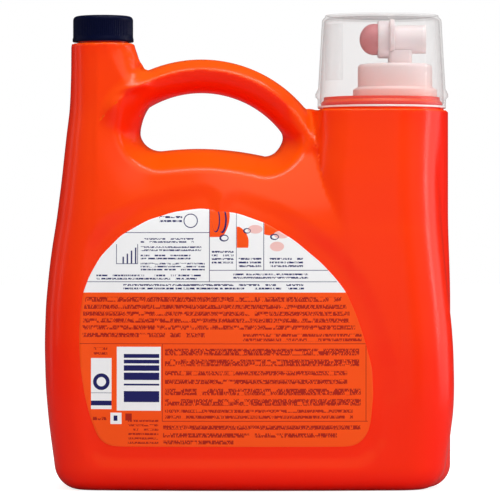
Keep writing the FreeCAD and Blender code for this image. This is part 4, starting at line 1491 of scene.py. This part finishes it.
@dataclass
class Tap:
    """Press tap on its neck: skirt, riser, barrel, wings, retaining ring and soft button."""

    x: float = 93.1
    foot: float = 248.9
    axis: float = 286.1

    def build(self) -> list[Any]:
        """Make the tap's pieces.

        Returns:
            The pieces.
        """
        milky = TapFinish()
        plastic = milky.material()
        dome = MouldedFinish("dusty_button", "button_rubber", (0.62, 0.19, 0.20), (0.68, 0.22, 0.23), 0.5)
        return [
            self._body(plastic),
            self._ring(plastic),
            self._button(dome.material()),
        ]

    def _body(self, material: bpy.types.Material) -> Any:
        """Skirt, riser, barrel and wings in one moulding."""
        z = self.foot
        skirt = [
            *((0.0, z + 21.4), (23.8, z + 21.4), (23.8, z + 6.4), (24.6, z + 6.4), (26.9, z + 5.0)),
            *((26.9, z), (21.5, z), (21.5, z + 19.2), (0.0, z + 19.2)),
        ]
        radii = [0, 3.0, 0.5, 0.3, 1.2, 0.4, 0.3, 0.5, 0]
        draft = Draft()
        draft.add(*turned(softened(skirt, radii, 6)[::-1], (self.x, 0, 0), Turn.UPRIGHT, 128))
        barrel = [(7.4, -4.4), (9.1, -4.4), (9.1, 19.7), (7.4, 19.7)]
        draft.add(*turned(softened(barrel, 0.35, 3), (self.x, 0, self.axis), Turn.LEVEL, 96))
        disc = [(7.4, -4.5), (12.1, -4.5), (12.1, -3.8), (7.4, -3.8)]
        draft.add(*turned(softened(disc, 0.15, 2), (self.x, 0, self.axis), Turn.LEVEL, 96))
        seat = [(5.4, 11.4), (8.2, 11.4), (8.2, 13.0), (5.4, 13.0)]
        draft.add(*turned(softened(seat, 0.15, 2), (self.x, 0, self.axis), Turn.LEVEL, 64))
        low = z + 20.5
        high = self.axis - 7.0
        middle = (self.x + 3.15, 0, (high + low) / 2)
        draft.add(*plate((7.55, 7.2, (high - low) / 2), 2.6, 0.2, middle, Turn.UPRIGHT))
        wing_low = self.axis - 7.9
        draft.add(*plate((21.0, 10.0, 1.45), 6.0, 0.45, (self.x - 2.35, 0, wing_low + 10.0), Turn.LEVEL, 8))
        made = draft.piece("tap_moulding", Body.BOTTLE, material, 35.0)
        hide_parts("tap_body")
        return made

    def _ring(self, material: bpy.types.Material) -> Any:
        """Retaining ring of the button."""
        section = [(10.3, 0.0), (11.3, 0.0), (12.1, 0.8), (12.1, 6.7), (11.1, 6.7), (11.1, 1.2), (10.3, 1.2)]
        draft = Draft()
        draft.add(*turned(softened(section, 0.2, 3), (self.x - 11.2, 0, self.axis), Turn.LEVEL, 96))
        made = draft.piece("retaining_ring", Body.BOTTLE, material, 35.0)
        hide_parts("button_ring")
        return made

    def _button(self, material: bpy.types.Material) -> Any:
        """Soft dome with its foot and boss."""
        tip = self.x - 22.7
        outer = [(10.0 * math.sin(a), 9.0 * (1 - math.cos(a))) for a in np.linspace(0, math.pi / 2, 14)]
        foot = [(10.0, 12.7), (10.8, 12.7), (10.8, 13.9), (8.4, 13.9)]
        inner = [(8.4 * math.sin(a), 1.6 + 7.4 * (1 - math.cos(a))) for a in np.linspace(math.pi / 2, 0, 10)]
        draft = Draft()
        draft.add(*turned(outer + foot + inner, (tip, 0, self.axis), Turn.LEVEL, 72))
        boss = softened([(2.0, 0.8), (3.4, 0.8), (3.4, 6.0), (2.0, 6.0)], 0.2, 2)
        draft.add(*turned(boss, (tip, 0, self.axis), Turn.LEVEL, 48))
        made = draft.piece("button_dome", Body.PUSH_BUTTON, material, 40.0)
        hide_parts("press_button")
        return made


@dataclass
class DosingCup:
    """Clear cup, upside down over the tap."""

    x: float = 84.6
    rim: float = 241.95

    def _section(self) -> list[Point]:
        """Half section of the cup, with heights above its rim."""
        return [
            *((41.0, 0.0), (41.0, 5.8), (42.5, 7.2), (42.5, 9.2), (40.7, 12.6)),
            *((38.2, 56.6), (36.3, 58.4), (36.3, 59.4), (34.7, 59.4), (34.7, 58.7)),
            *((0.0, 58.7), (0.0, 57.4), (35.1, 57.4), (36.9, 55.6), (39.4, 12.6)),
            *((39.7, 3.3), (39.0, 2.6), (39.0, 1.4), (39.7, 0.7), (39.7, 0.0)),
        ]

    def build(self) -> Any:
        """Make the cup.

        Returns:
            The piece.
        """
        outer = [0.4, 1.5, 0.8, 1.0, 3.0, 2.5, 0.3, 0.4, 0.4, 0.3, 0]
        inner = [0, 1.5, 1.5, 3.0, 0.3, 0.2, 0.2, 0.3, 0.4]
        section = softened(self._section(), outer + inner, 5)
        draft = Draft()
        draft.add(*turned(section, (self.x, 0, self.rim), Turn.UPRIGHT, 160))
        finish = ClearFinish()
        made = draft.piece("dosing_cup_shell", Body.DOSING_CUP, finish.material(), 40.0)
        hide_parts("dosing_cup")
        return made


@dataclass
class HiddenNodes:
    """Small CAD solids that keep their shape and get their finish here."""

    nodes: Mapping[str, Any]

    def dress(self) -> None:
        """Give each node its material."""
        foam = MouldedFinish("liner_foam", "liner_foam", (0.78, 0.78, 0.75), (0.7, 0.7, 0.67), 0.8, 0.0002)
        seal = MouldedFinish("pale_seal", "seal_rubber", (0.70, 0.69, 0.66), (0.62, 0.61, 0.58), 0.6)
        stem = MouldedFinish("natural_stem", "stem_plastic", (0.82, 0.79, 0.76), (0.76, 0.73, 0.70), 0.4)
        seal_material = seal.material()
        plan = {
            "vent_cap_liner": foam.material(),
            "tap_gasket": seal_material,
            "valve_seal": seal_material,
            "valve_stem": stem.material(),
        }
        for name, material in plan.items():
            made = self.nodes[name]
            made.data.materials.clear()
            made.data.materials.append(material)
            log.info("dressed %s", name)


@dataclass(frozen=True)
class Lamp:
    """Rectangular lamp that faces a target; a lamp that is not mirrored leaves no reflection."""

    name: str
    place: tuple[float, float, float]
    target: tuple[float, float, float]
    size: Point
    power: float
    mirrored: bool = True

    def hang(self) -> None:
        """Put the lamp in the scene."""
        data = bpy.data.lights.new(self.name, "AREA")
        data.shape = "RECTANGLE"
        data.size, data.size_y = self.size
        data.energy = self.power
        made = bpy.data.objects.new(self.name, data)
        made.location = self.place
        aim = Vector(self.target) - Vector(self.place)
        made.rotation_euler = aim.to_track_quat("-Z", "Y").to_euler()
        made.visible_glossy = self.mirrored
        bpy.context.scene.collection.objects.link(made)


@dataclass
class Studio:
    """Camera, lamps, white surroundings and pale floor."""

    eye: tuple[float, float, float] = (0.0003, -2.45, 0.1514)
    view_width: float = 0.32
    sensor: float = 36.0
    floor_reach: float = 14.0
    diffuse_light: float = 0.40
    mirrored_light: float = 0.04
    lamps: tuple[Lamp, ...] = (
        Lamp("left_strip", (-1.15, 0.45, 0.40), (-0.05, 0.0, 0.14), (0.14, 1.2), 0.5),
        Lamp("left_streak", (-1.2, -0.05, 0.55), (-0.05, 0.0, 0.2), (0.08, 0.8), 0.5),
        Lamp("right_streak", (1.2, -0.05, 0.55), (0.05, 0.0, 0.2), (0.08, 0.8), 2.0),
        Lamp("right_softbox", (1.25, 0.25, 0.40), (0.05, 0.0, 0.14), (0.8, 1.3), 4.6),
        Lamp("right_fill", (1.2, -0.6, 0.25), (0.05, 0.0, 0.12), (0.8, 0.8), 2.2, False),
        Lamp("overhead", (0.3, -0.70, 1.15), (0.0, 0.0, 0.18), (0.9, 0.75), 2.8),
        Lamp("overhead_streak", (0.05, -0.12, 1.15), (0.0, 0.0, 0.2), (1.1, 0.08), 5.0),
        Lamp("front_fill", (0.1, -2.3, 0.48), (0.0, 0.0, 0.13), (1.6, 1.0), 13.5, False),
    )

    def build(self) -> None:
        """Set up everything round the object."""
        self._camera()
        self._world()
        self._floor()
        for lamp in self.lamps:
            lamp.hang()

    def _camera(self) -> None:
        """Camera at the photograph's place."""
        data = bpy.data.cameras.new("view")
        data.sensor_width = self.sensor
        data.lens = self.sensor * abs(self.eye[1]) / self.view_width
        data.clip_start = 0.1
        data.clip_end = 60.0
        made = bpy.data.objects.new("view", data)
        made.location = self.eye
        made.rotation_euler = (math.pi / 2, 0.0, 0.0)
        bpy.context.scene.collection.objects.link(made)
        bpy.context.scene.camera = made

    def _world(self) -> None:
        """White surroundings, dimmer as a light than as a background."""
        world = bpy.data.worlds.new("white_room")
        world.use_nodes = True
        tree = world.node_tree
        tree.nodes.clear()
        seen = tree.nodes.new("ShaderNodeLightPath")
        mirrored = tree.nodes.new("ShaderNodeMapRange")
        mirrored.inputs["To Min"].default_value = self.diffuse_light
        mirrored.inputs["To Max"].default_value = self.mirrored_light
        strength = tree.nodes.new("ShaderNodeMapRange")
        strength.inputs["To Max"].default_value = 1.0
        back = tree.nodes.new("ShaderNodeBackground")
        back.inputs["Color"].default_value = (1.0, 1.0, 1.0, 1.0)
        out = tree.nodes.new("ShaderNodeOutputWorld")
        tree.links.new(seen.outputs["Is Glossy Ray"], mirrored.inputs["Value"])
        tree.links.new(mirrored.outputs[0], strength.inputs["To Min"])
        tree.links.new(seen.outputs["Is Camera Ray"], strength.inputs["Value"])
        tree.links.new(strength.outputs[0], back.inputs["Strength"])
        tree.links.new(back.outputs[0], out.inputs[0])
        bpy.context.scene.world = world

    def _floor(self) -> None:
        """Wide pale floor."""
        mesh = bpy.data.meshes.new("floor")
        reach = self.floor_reach
        corners = [(-reach, -reach, 0), (reach, -reach, 0), (reach, reach, 0), (-reach, reach, 0)]
        mesh.from_pydata(corners, [], [[0, 1, 2, 3]])
        mesh.materials.append(FloorFinish().material())
        made = bpy.data.objects.new("floor", mesh)
        bpy.context.scene.collection.objects.link(made)


def main() -> None:
    """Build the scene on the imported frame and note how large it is."""
    logging.basicConfig(level=logging.INFO, format="%(message)s")
    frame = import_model()
    bpy.context.scene.view_settings.view_transform = "Standard"
    Studio().build()
    skin = Skin()
    made = [Bottle(skin).build()]
    label_print = LabelFinish().material()
    made += [Label(skin, side).build(label_print) for side in Side]
    made.append(VentCap().build())
    made += Tap().build()
    made.append(DosingCup().build())
    HiddenNodes(frame["nodes"]).dress()
    for piece in made:
        log.info("%s: %d faces", piece.name, len(piece.data.polygons))


if __name__ == "__main__":
    main()
